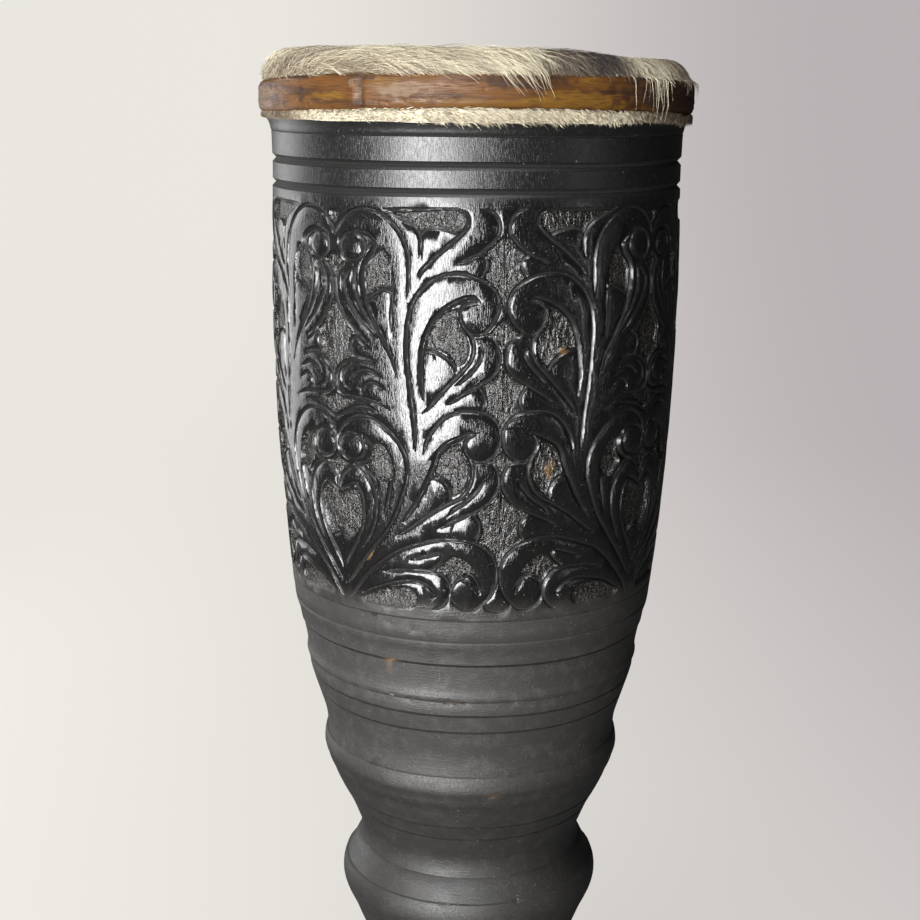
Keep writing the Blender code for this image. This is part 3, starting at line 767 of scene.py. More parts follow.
# Stretches of radius and height; a stretch is smooth, and two stretches meet in a crease
FOOT_STRETCHES = [
    [(69.2, 0.0), (70.0, 0.8), (70.0, 6.0), (70.0, 11.2), (69.4, 12.0)],
    [(66.2, 12.2), (67.8, 15.0), (68.5, 19.5), (67.8, 24.0), (66.2, 26.8)],
    [(63.0, 27.2), (62.4, 28.6), (57.6, 40.0), (52.8, 56.0), (48.8, 76.0), (45.2, 96.0), (43.0, 109.6)],
    [(43.2, 110.0), (46.4, 112.6), (48.8, 117.0), (47.6, 121.4), (44.8, 124.0)],
    [(44.6, 124.4), (44.1, 130.0), (44.2, 138.0), (45.0, 143.5)],
]
CUP_STRETCHES = [
    [
        (45.0, 143.6), (46.6, 147.0), (49.8, 155.0), (53.4, 163.0), (54.4, 167.5), (54.1, 171.5),
        (53.1, 174.6)
    ],
    [(52.3, 175.0), (50.1, 179.0), (47.9, 183.4)],
    [
        (47.1, 183.9), (46.5, 187.5), (46.7, 191.5), (48.2, 195.6), (51.2, 202.8), (55.2, 210.4),
        (57.4, 215.2), (58.9, 219.2)
    ],
    [(59.0, 219.3), (60.4, 222.4), (61.1, 225.2)],
    [(61.4, 225.6), (61.9, 227.6), (61.7, 231.0), (61.2, 233.2)],
    [
        (60.5, 233.6), (60.6, 238.0), (61.4, 243.0), (63.8, 250.8), (66.4, 258.8), (67.8, 264.0),
        (67.9, 267.2)
    ],
    [(68.5, 267.7), (69.0, 269.2), (68.7, 272.0), (69.1, 276.0), (70.2, 281.6), (70.5, 283.2)],
    [(71.0, 283.4), (71.5, 286.0), (72.1, 289.4)],
    [(72.5, 290.0), (73.2, 292.6), (73.9, 298.0), (74.5, 302.4)],
]
NECK_STRETCHES = [
    [(80.3, 458.8), (80.15, 466.0), (80.3, 474.0), (80.5, 480.0), (81.2, 483.0), (82.2, 485.0)],
    [(82.1, 485.3), (80.0, 485.8), (76.6, 486.3)],
    [(76.6, 486.5), (76.6, 496.0), (76.6, 505.6), (75.8, RIM_TOP)],
]
HOLLOW_STRETCHES = [
    [(75.0, RIM_TOP), (69.8, RIM_TOP), (69.4, 505.6), (70.5, 456.0), (71.0, 400.0), (64.9, 305.0)],
    [(64.9, 304.0), (58.6, 276.0), (44.0, 252.0), (30.0, 240.0), (22.0, 234.0)],
    [(22.0, 233.0), (22.0, 172.0), (22.0, 110.0)],
    [(22.2, 109.0), (29.6, 82.0), (40.0, 46.0), (54.0, 0.4)],
    [(54.8, 0.0), (62.0, 0.0), (68.8, 0.0)],
]

# Turned grooves: height, depth and half width
GROOVES = {
    "foot_low": (40.6, 0.7, 0.6),
    "trumpet_high": (70.0, 0.7, 0.6),
    "trumpet_low": (64.0, 0.7, 0.6),
    "neck_low": (132.0, 0.7, 0.5),
    "neck_high": (138.0, 0.7, 0.5),
    "bell_low": (202.6, 1.1, 0.55),
    "bell_high": (209.5, 1.1, 0.55),
    "flank_low": (253.7, 1.1, 0.50),
    "flank_high": (261.4, 1.1, 0.50),
    "band_top": (283.3, 1.3, 0.55),
    "border_low": (293.4, 0.5, 0.8),
    "border": (302.2, 0.5, 0.4),
    "bead_low": (460.8, 1.45, 1.6),
    "bead_high": (470.0, 1.5, 1.6),
    "turned_line": (480.4, 0.3, 0.4),
}


def bowl_radius(height):
    """Outer radius of the carved band, in millimetres."""
    share = (height - CARVED_FOOT) / BAND_HEIGHT
    straight = BOWL_FOOT_RADIUS + (BOWL_TOP_RADIUS - BOWL_FOOT_RADIUS) * share
    return straight + 4.0 * BOWL_SWELL * share * (1.0 - share)


def stretch_rows(stretches, spacing):
    return np.vstack([smooth_line(stretch, spacing) for stretch in stretches])


def turned_rows(stretches, spacing):
    """Rows of a turned section that rises all the way, with rows of their own for the grooves on it."""
    rows = stretch_rows(stretches, spacing)
    shares = (-1.0, -0.5, 0.0, 0.5, 1.0)
    marks = [level + share * half_width for level, _, half_width in GROOVES.values() for share in shares]
    marks = [height for height in marks if rows[0, 1] < height < rows[-1, 1]]
    rows = np.vstack([rows, np.column_stack([np.interp(marks, rows[:, 1], rows[:, 0]), marks])])
    return rows[np.argsort(rows[:, 1], kind="stable")]


def carved_rows(spacing):
    """The carved band, with a little plain wood above it up to the first turned groove."""
    heights = np.arange(BAND_ROWS_FOOT, BAND_ROWS_TOP, spacing)
    return np.column_stack([bowl_radius(np.minimum(heights, CARVED_TOP)), heights])


print("bowl radius at the middle of the carving", round(float(bowl_radius(380.0)), 2), "mm")

# %% [markdown]
# ## Carving it
# The turned section becomes rings of points, fine rings where the carving is and coarser ones elsewhere.
# Every point of the bowl looks up its depth in the height map, after a slow warp that makes each leaf a
# little unlike its neighbour. The result has far too many faces on the flat leaves, so a Decimate step
# takes them where nothing shows and leaves them along the cuts.

# %% Rings of points, carved
FINE_COLUMNS = 1280
COARSE_COLUMNS = 640
FRONT_MIDDLE = math.radians(7.3)
FRONT_WIDTH = math.radians(94.0)
FAN_COUNT = 4
BODY_TRIANGLES = 194000
CRISP_ANGLE = math.radians(32.0)
MARK_RADIUS = 76.0
CHIP_SEED = 80
WORN_SEED = 120

# Chips and holes: angle in degrees, height, half width, half height, depth
CHIPS = [
    (-6.6, 267.5, 3.0, 0.9, 0.7), (-1.5, 267.4, 1.4, 0.6, 0.5), (-25.8, 283.2, 1.6, 0.8, 0.8),
    (-29.8, 301.6, 0.9, 0.8, 1.4),
    (14.0, 267.6, 1.8, 0.6, 0.5), (-20.0, 267.8, 1.6, 0.7, 0.7), (31.0, 283.4, 1.0, 0.6, 0.5),
    (-40.0, 234.0, 1.6, 0.7, 0.5),
    (8.0, 225.4, 1.6, 0.7, 0.4), (-12.0, 175.0, 2.2, 0.8, 0.5), (22.0, 174.8, 1.4, 0.7, 0.4),
    (-26.0, 268.2, 1.3, 0.6, 0.6),
    (-33.5, 300.2, 0.9, 0.5, 0.5), (-24.0, 298.8, 2.4, 0.5, 0.4), (-16.0, 297.6, 3.0, 0.5, 0.4),
]

# Worn places where brown wood shows: angle in degrees, height, half width, half height, strength
WORN = [
    (23.0, 405.0, 2.0, 1.4, 0.85), (21.0, 360.5, 1.4, 3.2, 0.6), (25.0, 444.5, 1.0, 2.0, 0.6),
    (-29.2, 326.0, 0.8, 0.7, 1.0),
    (-25.8, 283.2, 1.7, 0.7, 0.9), (-6.6, 267.5, 2.6, 0.7, 0.15), (14.8, 381.0, 1.6, 1.2, 0.3),
    (-24.0, 250.0, 3.0, 1.0, 0.2), (-30.0, 171.0, 6.0, 1.6, 0.25), (10.0, 226.0, 5.0, 1.0, 0.2),
]


def fan_share(angle):
    """For each angle from the front: share across the half fan, 0 on a root line and 1 on a middle line."""
    other = (math.tau - FRONT_WIDTH) / (FAN_COUNT - 1)
    turn = (angle - (FRONT_MIDDLE - FRONT_WIDTH / 2.0)) % math.tau
    in_front = turn < FRONT_WIDTH
    width = np.where(in_front, FRONT_WIDTH, other)
    part = np.where(in_front, turn, (turn - FRONT_WIDTH) % other) / width
    return 1.0 - np.abs(2.0 * part - 1.0)


def read_map(values, across, down):
    """Reads a map between its points; across and down are in millimetres."""
    column = np.clip(across / MAP_STEP, 0.0, values.shape[1] - 1.001)
    row = np.clip((down + MAP_MARGIN) / MAP_STEP, 0.0, values.shape[0] - 1.001)
    left = np.floor(column).astype(int)
    top = np.floor(row).astype(int)
    part_x = column - left
    part_y = row - top
    upper = values[top, left] * (1.0 - part_x) + values[top, left + 1] * part_x
    lower = values[top + 1, left] * (1.0 - part_x) + values[top + 1, left + 1] * part_x
    return upper * (1.0 - part_y) + lower * part_y


def fan_place(angle, height):
    """Where a point of the bowl lies on the drawing, hand wobble included."""
    share = fan_share(angle)
    across = share * HALF_FAN + 0.45 * ring_noise(angle, height, 40, 14.0, 3) * np.sin(math.pi * share)
    down = CARVED_TOP - height + 0.40 * ring_noise(angle, height, 44, 12.0, 4)
    return across, down


def carve_depth(angle, height):
    """How deep the bowl is cut at a place, with the marks of the tools, in millimetres."""
    across, down = fan_place(angle, height)
    depth = read_map(CUT_MAP, across, down)
    ground = read_map(GROUND_MAP, across, down)
    rough = 0.08 * ring_noise(angle, height, 380, 1.3, 5) + 0.16 * ring_noise(angle, height, 210, 2.6, 6)
    facets = 0.06 * ring_noise(angle, height, 90, 7.0, 7)
    return depth + rough * ground + facets


def marks(angle, height, table, first_seed):
    """Small ragged marks: the last value of each in its middle, and 0 outside; sizes in millimetres."""
    total = np.zeros_like(height)
    for number, (place, level, half_width, half_height, strength) in enumerate(table):
        across = turn_apart(angle, math.radians(place)) * MARK_RADIUS / half_width
        up = (height - level) / half_height
        ragged = 0.4 * ring_noise(angle, height, 420, 0.9, first_seed + number)
        total = np.maximum(total, strength * ease((1.2 - np.hypot(across, up) + ragged) / 0.6))
    return total


def groove_depth(height):
    """How deep the turned grooves are at a height, in millimetres."""
    total = np.zeros_like(height)
    for level, depth, half_width in GROOVES.values():
        total = np.maximum(total, depth * np.clip(1.0 - np.abs(height - level) / half_width, 0.0, 1.0))
    return total


def wander(angle, height):
    """How far the turned work rises and falls as it goes round, in millimetres."""
    return 0.3 * ring_noise(angle, height, 9, 40.0, 20) * ease(height / 20.0) * ease((484.0 - height) / 10.0)


def ring_points(rows, columns, outer):
    """The points of a stack of rings, in metres."""
    angle = np.linspace(0.0, math.tau, columns, endpoint=False)[None, :] + np.zeros((len(rows), 1))
    height = rows[:, 1][:, None] + np.zeros((1, columns))
    radius = rows[:, 0][:, None] + np.zeros((1, columns))
    if outer:
        radius = radius - np.maximum(groove_depth(height), marks(angle, height, CHIPS, CHIP_SEED))
        radius = radius + 0.12 * ring_noise(angle, height, 14, 30.0, 11)
        radius = radius + 0.05 * ring_noise(angle, height, 60, 6.0, 12)
        in_band = ease((height - 303.0) / 1.5) * ease((456.2 - height) / 1.0)
        radius = radius - carve_depth(angle, height) * in_band
        height = height + wander(angle, height)
    return on_drum(angle, radius, height) * MM


def join_same(first, second, columns, faces):
    """Closes the gap between two rings of as many points."""
    here = np.arange(columns)
    after = (here + 1) % columns
    faces.append(np.column_stack([first + here, first + after, second + after, second + here]))


def join_step(fine, coarse, up, triangles):
    """Closes the gap between a ring of many points and a ring of fewer."""
    ratio = FINE_COLUMNS // COARSE_COLUMNS
    half = ratio // 2
    for spot in range(COARSE_COLUMNS):
        near = coarse + spot
        far = coarse + (spot + 1) % COARSE_COLUMNS
        row = [fine + (spot * ratio + step) % FINE_COLUMNS for step in range(ratio + 1)]
        fan = [(near, row[step + 1], row[step]) for step in range(half)] + [(near, far, row[half])]
        fan += [(far, row[step + 1], row[step]) for step in range(half, ratio)]
        triangles += [corner[::-1] for corner in fan] if up else fan


def body_mesh():
    """The whole body as closed rings, with twice as many points round the carved band."""
    below = turned_rows(FOOT_STRETCHES, 2.2)
    cup = turned_rows(CUP_STRETCHES, 0.9)
    band = carved_rows(0.42)
    above = turned_rows(NECK_STRETCHES, 0.8)
    hollow = stretch_rows(HOLLOW_STRETCHES, 8.0)
    stacks = [
        (np.vstack([below, cup]), COARSE_COLUMNS, True),
        (band, FINE_COLUMNS, True),
        (np.vstack([above, hollow]), COARSE_COLUMNS, True),
    ]
    points = []
    quads = []
    triangles = []
    start = 0
    edges = []
    for rows, columns, outer in stacks:
        ring = ring_points(rows, columns, outer)
        points.append(ring.reshape(-1, 3))
        for row in range(len(rows) - 1):
            join_same(start + row * columns, start + (row + 1) * columns, columns, quads)
        edges.append((start, start + (len(rows) - 1) * columns))
        start += len(rows) * columns
    join_step(edges[1][0], edges[0][1], False, triangles)
    join_step(edges[1][1], edges[2][0], True, triangles)
    join_same(edges[2][1], edges[0][0], COARSE_COLUMNS, quads)
    mesh = bpy.data.meshes.new("drum_body_carved")
    faces = [tuple(face) for face in np.vstack(quads).tolist()] + triangles
    mesh.from_pydata(np.vstack(points).tolist(), [], faces)
    return mesh


def thin_out(piece, triangles_wanted):
    """Takes faces of the piece where its surface is plain."""
    piece.data.calc_loop_triangles()
    thin = piece.modifiers.new("thin", "DECIMATE")
    thin.ratio = min(1.0, triangles_wanted / len(piece.data.loop_triangles))
    take_modifier_result(piece)


def point_array(mesh):
    values = np.zeros(len(mesh.vertices) * 3)
    mesh.vertices.foreach_get("co", values)
    return values.reshape(-1, 3)


def round_angle(points):
    """The angle round the drum from the front."""
    return np.arctan2(points[:, 0], -points[:, 1])


def write_mask(mesh, name, values):
    attribute = mesh.attributes.new(name, "FLOAT", "POINT")
    attribute.data.foreach_set("value", np.asarray(values, np.float32))


def paint_body(mesh):
    """Leaves masks on the mesh: sunk ground, cut lines and worn places."""
    points = point_array(mesh) / MM
    angle = round_angle(points)
    height = points[:, 2] - wander(angle, points[:, 2])
    across, down = fan_place(angle, height)
    outside = np.hypot(points[:, 0], points[:, 1]) > 60.0
    in_band = (height > 303.0) & (height < 456.3) & outside
    ground = np.where(in_band, read_map(GROUND_MAP, across, down), 0.0)
    cut = np.where(in_band, read_map(LINE_MAP, across, down), 0.0)
    turned = np.where(outside, ease(groove_depth(height) / 0.5), 0.0)
    write_mask(mesh, "ground", ground)
    # The cut mask, turned grooves included, carries the painted light and shade of the cut lines.
    write_mask(mesh, "cut", np.maximum(cut * (1.0 - ground), turned))
    write_mask(mesh, "worn", np.where(outside, marks(angle, height, WORN, WORN_SEED), 0.0))


body = centred("carved_drum_body", body_mesh(), WOOD)
full_count = len(body.data.polygons)
thin_out(body, BODY_TRIANGLES)
body.data.shade_smooth()
body.data.set_sharp_from_angle(angle=CRISP_ANGLE)
paint_body(body.data)
body.data.calc_loop_triangles()
print("body carved with", full_count, "faces, kept", len(body.data.loop_triangles), "triangles")

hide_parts("drum_body")
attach(body, "root")

# %% [markdown]
# ## The cane hoop
# A strip of split cane is bent into a ring and driven down over the wet hide. Its outer face is the cane's
# own skin: slightly rounded, glossy, ridged along its length, with a swollen node on the left of the front.
# It has slipped a little lower at the sides than at the front. The ring is swept through its own section,
# with ridges, the node and worn pits added to the radius.

# %% Cane hoop
HOOP_COLUMNS = 900
HOOP_MIDDLE = (HOOP_LOW.z + HOOP_HIGH.z) / 2.0 / MM
HOOP_OUTER = HOOP_HIGH.x / MM + 0.1
HOOP_INNER = 78.5
NODE_DEGREES = -30.5
NODE_ANGLE = math.radians(NODE_DEGREES)
LEVEL_HEIGHT = 6.0

# Patches on the hoop: strength, angle in degrees, half width in degrees, level, half height in levels, seed
PATCHES = {
    "gold": [
        (1.0, 24.0, 13.0, -0.55, 0.45, 41),
        (1.0, -38.0, 5.0, -0.15, 0.25, 42),
        (0.7, -22.0, 4.0, 0.45, 0.3, 43),
        (0.6, 0.0, 14.0, -0.7, 0.2, 44),
        (0.8, 27.0, 3.0, 0.6, 0.2, 40),
    ],
    "dark": [
        (0.8, 12.0, 10.0, 0.45, 0.35, 45),
        # Painted shade: the hoop's right end is darkened.
        (0.9, 66.0, 26.0, 0.1, 1.2, 46),
        # Painted shade: a dark strip in the groove beside the node.
        (0.7, NODE_DEGREES + 2.2, 0.7, -0.1, 0.75, 47),
        (0.8, -48.0, 1.2, 0.1, 0.5, 48),
        (0.7, 42.0, 14.0, 0.0, 0.12, 50),
    ],
    "scuff_and_highlight": [
        (1.0, -17.5, 6.0, 0.05, 0.32, 49),
        # Painted highlight: a light patch on top of the node's swelling.
        (0.7, NODE_DEGREES - 0.6, 0.7, 0.45, 0.25, 51),
        (0.5, -72.0, 7.0, -0.2, 0.7, 52),
    ],
}


def hoop_middle(angle):
    """Height of the hoop's middle line, in millimetres: up at the front, down at the left."""
    sag = -0.27 + 0.82 * np.cos(angle) + 0.57 * np.sin(angle) + 1.05 * np.cos(2.0 * angle)
    sag = sag + 0.5 * np.maximum(-np.sin(angle), 0.0) ** 9
    return HOOP_MIDDLE + sag + 0.12 * round_noise(angle, 24, 31)


def hoop_half(angle):
    """Half the hoop's height, in millimetres."""
    slim = 0.2 * np.cos(angle) + 0.5 * np.maximum(-np.sin(angle), 0.0) ** 9
    return 6.5 - slim + 0.12 * round_noise(angle, 30, 32)


def hoop_edge(angle, side):
    """Height on the hoop: its upper edge at side 1, its lower one at -1, its middle line at 0."""
    return hoop_middle(angle) + side * hoop_half(angle)


def patch(angle, level, place, half_turn, middle, half_level, seed):
    """A ragged patch on the hoop: 1 inside, 0 outside; level runs from -1 below to 1 above."""
    across = turn_apart(angle, math.radians(place)) / math.radians(half_turn)
    up = (level - middle) / half_level
    ragged = 0.45 * ring_noise(angle, level * LEVEL_HEIGHT, 240, 1.6, seed)
    return ease((1.25 - np.hypot(across, up) + ragged) / 0.5)


def hoop_section():
    """Points round the strip's section: share across its height and share of its thickness."""
    face = [(level, 1.0 - 0.28 * abs(level) ** 5) for level in np.linspace(-1.0, 1.0, 27)]
    return face + [(0.99, 0.3), (0.94, 0.0), (0.0, 0.0), (-0.94, 0.0), (-0.99, 0.3)]


def bump_at(distance, width):
    """A round bump: 1 in its middle, falling off over a width."""
    return np.exp(-(distance / width) ** 2)


def hoop_relief(angle, level):
    """How far the outer face stands out from the plain strip, in millimetres."""
    height = level * LEVEL_HEIGHT
    ridges = 0.16 * ring_noise(angle, height, 12, 0.9, 33) + 0.10 * ring_noise(angle, height, 26, 0.5, 34)
    from_node = turn_apart(angle, NODE_ANGLE) * HOOP_OUTER
    relief = ridges + 0.55 * bump_at(from_node, 9.0)
    relief = relief + 0.55 * bump_at(from_node, 1.3) - 0.35 * bump_at(from_node - 3.4, 0.9)
    from_bud = np.hypot(from_node - 2.2, (level - 0.25) * LEVEL_HEIGHT)
    relief = relief + 0.35 * bump_at(from_bud, 1.3) - 0.5 * bump_at(from_bud, 0.55)
    pits = ring_noise(angle, height, 420, 0.8, 35) * ease(ring_noise(angle, height, 30, 3.0, 36) * 2.0)
    relief = relief - 0.34 * ease((pits - 0.35) / 0.3)
    return relief + 0.7 * ease(-np.sin(angle) * 1.6 - 0.6)


def hoop_mesh():
    section = hoop_section()
    angle = np.linspace(0.0, math.tau, HOOP_COLUMNS, endpoint=False)
    points = []
    for level, share in section:
        level_row = np.full_like(angle, level)
        face = np.clip((share - 0.6) / 0.3, 0.0, 1.0)
        radius = HOOP_INNER + (HOOP_OUTER - HOOP_INNER) * share + hoop_relief(angle, level_row) * face
        points.append(on_drum(angle, radius, hoop_edge(angle, level)) * MM)
    quads = []
    for row in range(len(section)):
        after = (row + 1) % len(section)
        join_same(row * HOOP_COLUMNS, after * HOOP_COLUMNS, HOOP_COLUMNS, quads)
    mesh = bpy.data.meshes.new("hoop")
    mesh.from_pydata(np.vstack(points).tolist(), [], [tuple(face) for face in np.vstack(quads).tolist()])
    return mesh


def paint_hoop(mesh):
    """Leaves masks on the mesh: golden, dark and scuffed patches, with painted shade and a painted highlight
    among them.
    """
    points = point_array(mesh) / MM
    angle = round_angle(points)
    level = (points[:, 2] - hoop_middle(angle)) / hoop_half(angle)
    for name, patches in PATCHES.items():
        total = sum(strength * patch(angle, level, *shape) for strength, *shape in patches)
        write_mask(mesh, name, np.clip(total, 0.0, 1.0))


CANE_AMBER = (0.108, 0.0435, 0.0085)
CANE_DARK = (0.026, 0.012, 0.008)
CANE_GOLD = (0.140, 0.066, 0.009)
# Beige scuffs, and the colour of the painted highlight on the node.
CANE_SCUFF_AND_HIGHLIGHT = (0.175, 0.122, 0.078)


def cane_material():
    material, tree, shader = new_material("split_cane")
    place = add_place(tree)
    broad = add_streaks(tree, place, (0.10, 0.10, 1.0), 420.0, 0.46)
    fine = add_streaks(tree, place, (0.10, 0.10, 1.0), 2000.0, 0.50)
    blotch = add_noise(tree, place, 210.0, 6.0, 0.70)
    golden = plus(tree, add_attribute(tree, "gold"), add_range(tree, blotch, 0.56, 0.70, 0.0, 0.5))
    dark = times(tree, add_attribute(tree, "dark"), add_range(tree, blotch, 0.25, 0.6, 0.55, 0.95))
    scuff_and_highlight = times(tree, add_attribute(tree, "scuff_and_highlight"), add_range(tree, blotch, 0.35, 0.6, 0.25, 0.8))
    colour = add_layers(tree, CANE_AMBER, [
        (times(tree, broad, 0.65), CANE_DARK),
        (golden, CANE_GOLD),
        # Dark patches, part of them painted shade at the right end and beside the node.
        (dark, CANE_DARK),
        (times(tree, fine, 0.45), CANE_DARK),
        # Scuffs, and a painted highlight on the node.
        (scuff_and_highlight, CANE_SCUFF_AND_HIGHLIGHT),
    ])
    rough = plus(tree, add_range(tree, blotch, 0.3, 0.7, 0.36, 0.54), times(tree, scuff_and_highlight, 0.20))
    bump = add_bump(tree, broad, 0.5, 0.0004)
    bump = add_bump(tree, fine, 0.6, 0.0002, bump)
    fill(tree, shader, {"Base Color": colour, "Roughness": rough, "Specular IOR Level": 0.34, "Normal": bump})
    return material


CANE = cane_material()
hoop = centred("split_cane_hoop", hoop_mesh(), CANE)
paint_hoop(hoop.data)
hoop.data.shade_smooth()
hoop.data.calc_loop_triangles()
print("hoop has", len(hoop.data.loop_triangles), "triangles, node at", NODE_DEGREES, "degrees")

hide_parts("cane_hoop")
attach(hoop, "root")

# %% [markdown]
# ## The hide
# The head is one goatskin with its hair on, laid wet over the rim, held by the hoop and cut off just below
# it. This piece is the skin itself: flat over the rim, round over its edge, in behind the hoop and out
# again as a short skirt. It stays stiff when dry, so it is a turned form that follows the hoop's own
# heights, and no cloth.

# %% Skin of the drumhead
SKIN_COLUMNS = 360
SKIN_TOP = 507.8
RIM_CLEAR = 0.35
LIP_EDGE = 485.0


def lying_flat(angle):
    """1 on the right, where the hair lies flat over the rim; 0 where it stands up."""
    degrees = np.degrees(angle)
    return ease((degrees - 14.0) / 40.0) * ease((150.0 - degrees) / 30.0)


def skirt_height(angle):
    """How far the skin shows below the hoop: it ends level, just over the edge of the wooden lip."""
    return hoop_edge(angle, -1.0) - LIP_EDGE + 0.20 * round_noise(angle, 46, 61)


def skin_profile(angle):
    """The closed section of the skin at each angle, as rows of radius and height."""
    top = hoop_edge(angle, 1.0)
    foot = hoop_edge(angle, -1.0)
    end = foot - skirt_height(angle)
    sag = 0.9 * lying_flat(angle)
    inside = 76.6 + RIM_CLEAR
    under = RIM_TOP + RIM_CLEAR
    rows = [
        # over the rim
        (0.0, SKIN_TOP), (30.0, SKIN_TOP), (60.0, SKIN_TOP - 0.7 * sag), (74.0, SKIN_TOP - sag),
        (77.4 - sag, 507.2 - sag), (79.8 - sag, 505.8 - sag), (81.4 - sag, 504.0 - sag),
        # in behind the hoop
        (82.4, top + 0.6), (82.0, top + 0.2), (80.0, top + 0.1), (78.3, top - 1.0),
        (78.2, (top + foot) / 2.0),
        # out again below it
        (78.3, foot + 0.6), (80.6, foot - 0.1), (82.9, foot - 0.2), (83.5, foot - 0.8),
        # the skirt's cut edge
        (83.5, (foot + end) / 2.0), (83.1, end + 0.1), (82.9, end), (82.6, end + 0.6),
        # back up along the wood and in under the head
        (82.6, np.maximum(end + 1.0, 485.6)), (81.6, np.maximum(end + 1.3, 486.1)),
        (77.2, np.maximum(end + 1.6, 486.9)), (inside, 496.0), (inside, under), (40.0, under), (0.0, under),
    ]
    return [(radius + np.zeros_like(angle), height + np.zeros_like(angle)) for radius, height in rows]


def skin_mesh():
    angle = np.linspace(0.0, math.tau, SKIN_COLUMNS, endpoint=False)
    rows = skin_profile(angle)
    points = [(0.0, 0.0, rows[0][1][0] * MM)]
    for radius, height in rows[1:-1]:
        points += (on_drum(angle, radius, height) * MM).tolist()
    points.append((0.0, 0.0, rows[-1][1][0] * MM))
    faces = []
    for column in range(SKIN_COLUMNS):
        after = (column + 1) % SKIN_COLUMNS
        faces.append((0, 1 + column, 1 + after))
        for row in range(len(rows) - 3):
            upper = 1 + row * SKIN_COLUMNS
            lower = upper + SKIN_COLUMNS
            faces.append((upper + after, upper + column, lower + column, lower + after))
        last = 1 + (len(rows) - 3) * SKIN_COLUMNS
        faces.append((last + after, last + column, len(points) - 1))
    mesh = bpy.data.meshes.new("skin")
    mesh.from_pydata(points, [], faces)
    return mesh


HAIR_CREAM = (0.96, 0.885, 0.67)
HAIR_GREY = (0.215, 0.165, 0.112)
HAIR_DARK = (0.016, 0.012, 0.015)
SKIRT_TOP = 489.0
# The skin shows only between the hairs; it is painted darker than the hair over it, as painted shade.
SKIN_DARKER = 0.18


def hair_tint(x, y, height):
    """How dark the hair is at a place on the flat hide: 0 cream, 0.5 grey brown, 1 nearly black, with painted
    shade.
    """
    angle = np.arctan2(x, -y)
    reach = np.hypot(x, y)
    degrees = np.degrees(angle)
    cloud = ring_noise(angle, reach, 60, 6.0, 71)
    brown = 0.52 * ease((degrees - 8.0) / 10.0) * ease((44.0 - degrees) / 6.0)
    black = ease((degrees - 20.0) / 6.0) * ease((41.0 - degrees) / 4.0) * ease((84.0 - reach) / 3.0 + 0.6)
    # Painted shade: the hair darkens towards the right end.
    far_right = 0.45 * ease((degrees - 56.0) / 12.0) * ease((150.0 - degrees) / 40.0)
    # Painted shade at the left tips.
    left = 0.14 * ease((-degrees - 40.0) / 20.0)
    back = 0.30 * ease((np.abs(degrees) - 120.0) / 40.0)
    tint = np.maximum.reduce([brown, black, far_right, left, back])
    tint = tint * (0.75 + 0.35 * cloud) + 0.10 * np.maximum(cloud, 0.0)
    tint = tint * ease((reach + 7.0 * cloud - 38.0) / 26.0)
    # Painted shade: the fringe below the hoop darkens towards both sides.
    below = 0.42 * ease((-degrees - 44.0) / 18.0) + 0.38 * ease((degrees - 34.0) / 22.0)
    below = below + 0.10 * np.maximum(cloud, 0.0)
    return np.where(height < SKIRT_TOP, np.minimum(below, 0.5), tint)


def paint_skin(mesh):
    points = point_array(mesh) / MM
    # Painted shade: the skin is darker than the hair that grows from it.
    tint = hair_tint(*points.T) + SKIN_DARKER
    write_mask(mesh, "tint", np.clip(tint, 0.0, 1.0))


def tint_colour(tree, tint):
    """Cream to grey brown to nearly black."""
    grey = add_mix(tree, add_range(tree, tint, 0.0, 0.5), HAIR_CREAM, HAIR_GREY)
    return add_mix(tree, add_range(tree, tint, 0.5, 0.95), grey, HAIR_DARK)


def hide_material():
    """The skin under the hair: the hair's own tint darkened with painted shade, streaked as flat hair is."""
    material, tree, shader = new_material("goat_hide")
    lying = add_streaks(tree, add_place(tree), (0.25, 1.0, 1.0), 700.0, 0.5)
    tint = tint_colour(tree, add_attribute(tree, "tint"))
    fill(tree, shader, {
        "Base Color": add_mix(tree, times(tree, lying, 0.55), tint, HAIR_GREY),
        "Roughness": 0.75,
        "Normal": add_bump(tree, lying, 0.8, 0.0006),
    })
    return material


def hair_material():
    """One hair: its own tint, greyed towards the root with painted shade, with the soft shine of clean hair."""
    material, tree, shader = new_material("goat_hair")
    tint = tint_colour(tree, add_attribute(tree, "tint"))
    shade = add_range(tree, add_attribute(tree, "along"), 0.0, 0.6, 0.70, 0.0)
    colour = add_mix(tree, shade, tint, HAIR_GREY)
    fill(tree, shader, {"Base Color": colour, "Roughness": 0.42, "Specular IOR Level": 0.55})
    return material


HIDE = hide_material()
HAIR = hair_material()
skin = centred("hide_skin", skin_mesh(), HIDE)
paint_skin(skin.data)
skin.data.shade_smooth()
front_skirt = float(skirt_height(np.zeros(1))[0])
print("skin top at", SKIN_TOP, "mm, skirt", round(front_skirt, 1), "mm deep at the front")

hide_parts("drumhead_hide")
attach(skin, "root")

# %% [markdown]
# ## The goat's coat
# All the hair lies one way across the flat skin: to the right and a little forward. Where the skin folds
# down over the rim, the same hair stands up on the left, slants along the front and hangs down on the
# right. So each hair is laid as a line on the flat skin, and the skin's folded path turns it into its
# place. A node tree then gives the lines their thickness, taper and wave, because thousands of hairs only
# differ in a few numbers.

# %% Guide lines of the hair
COMB_TURN = math.radians(-30.0)

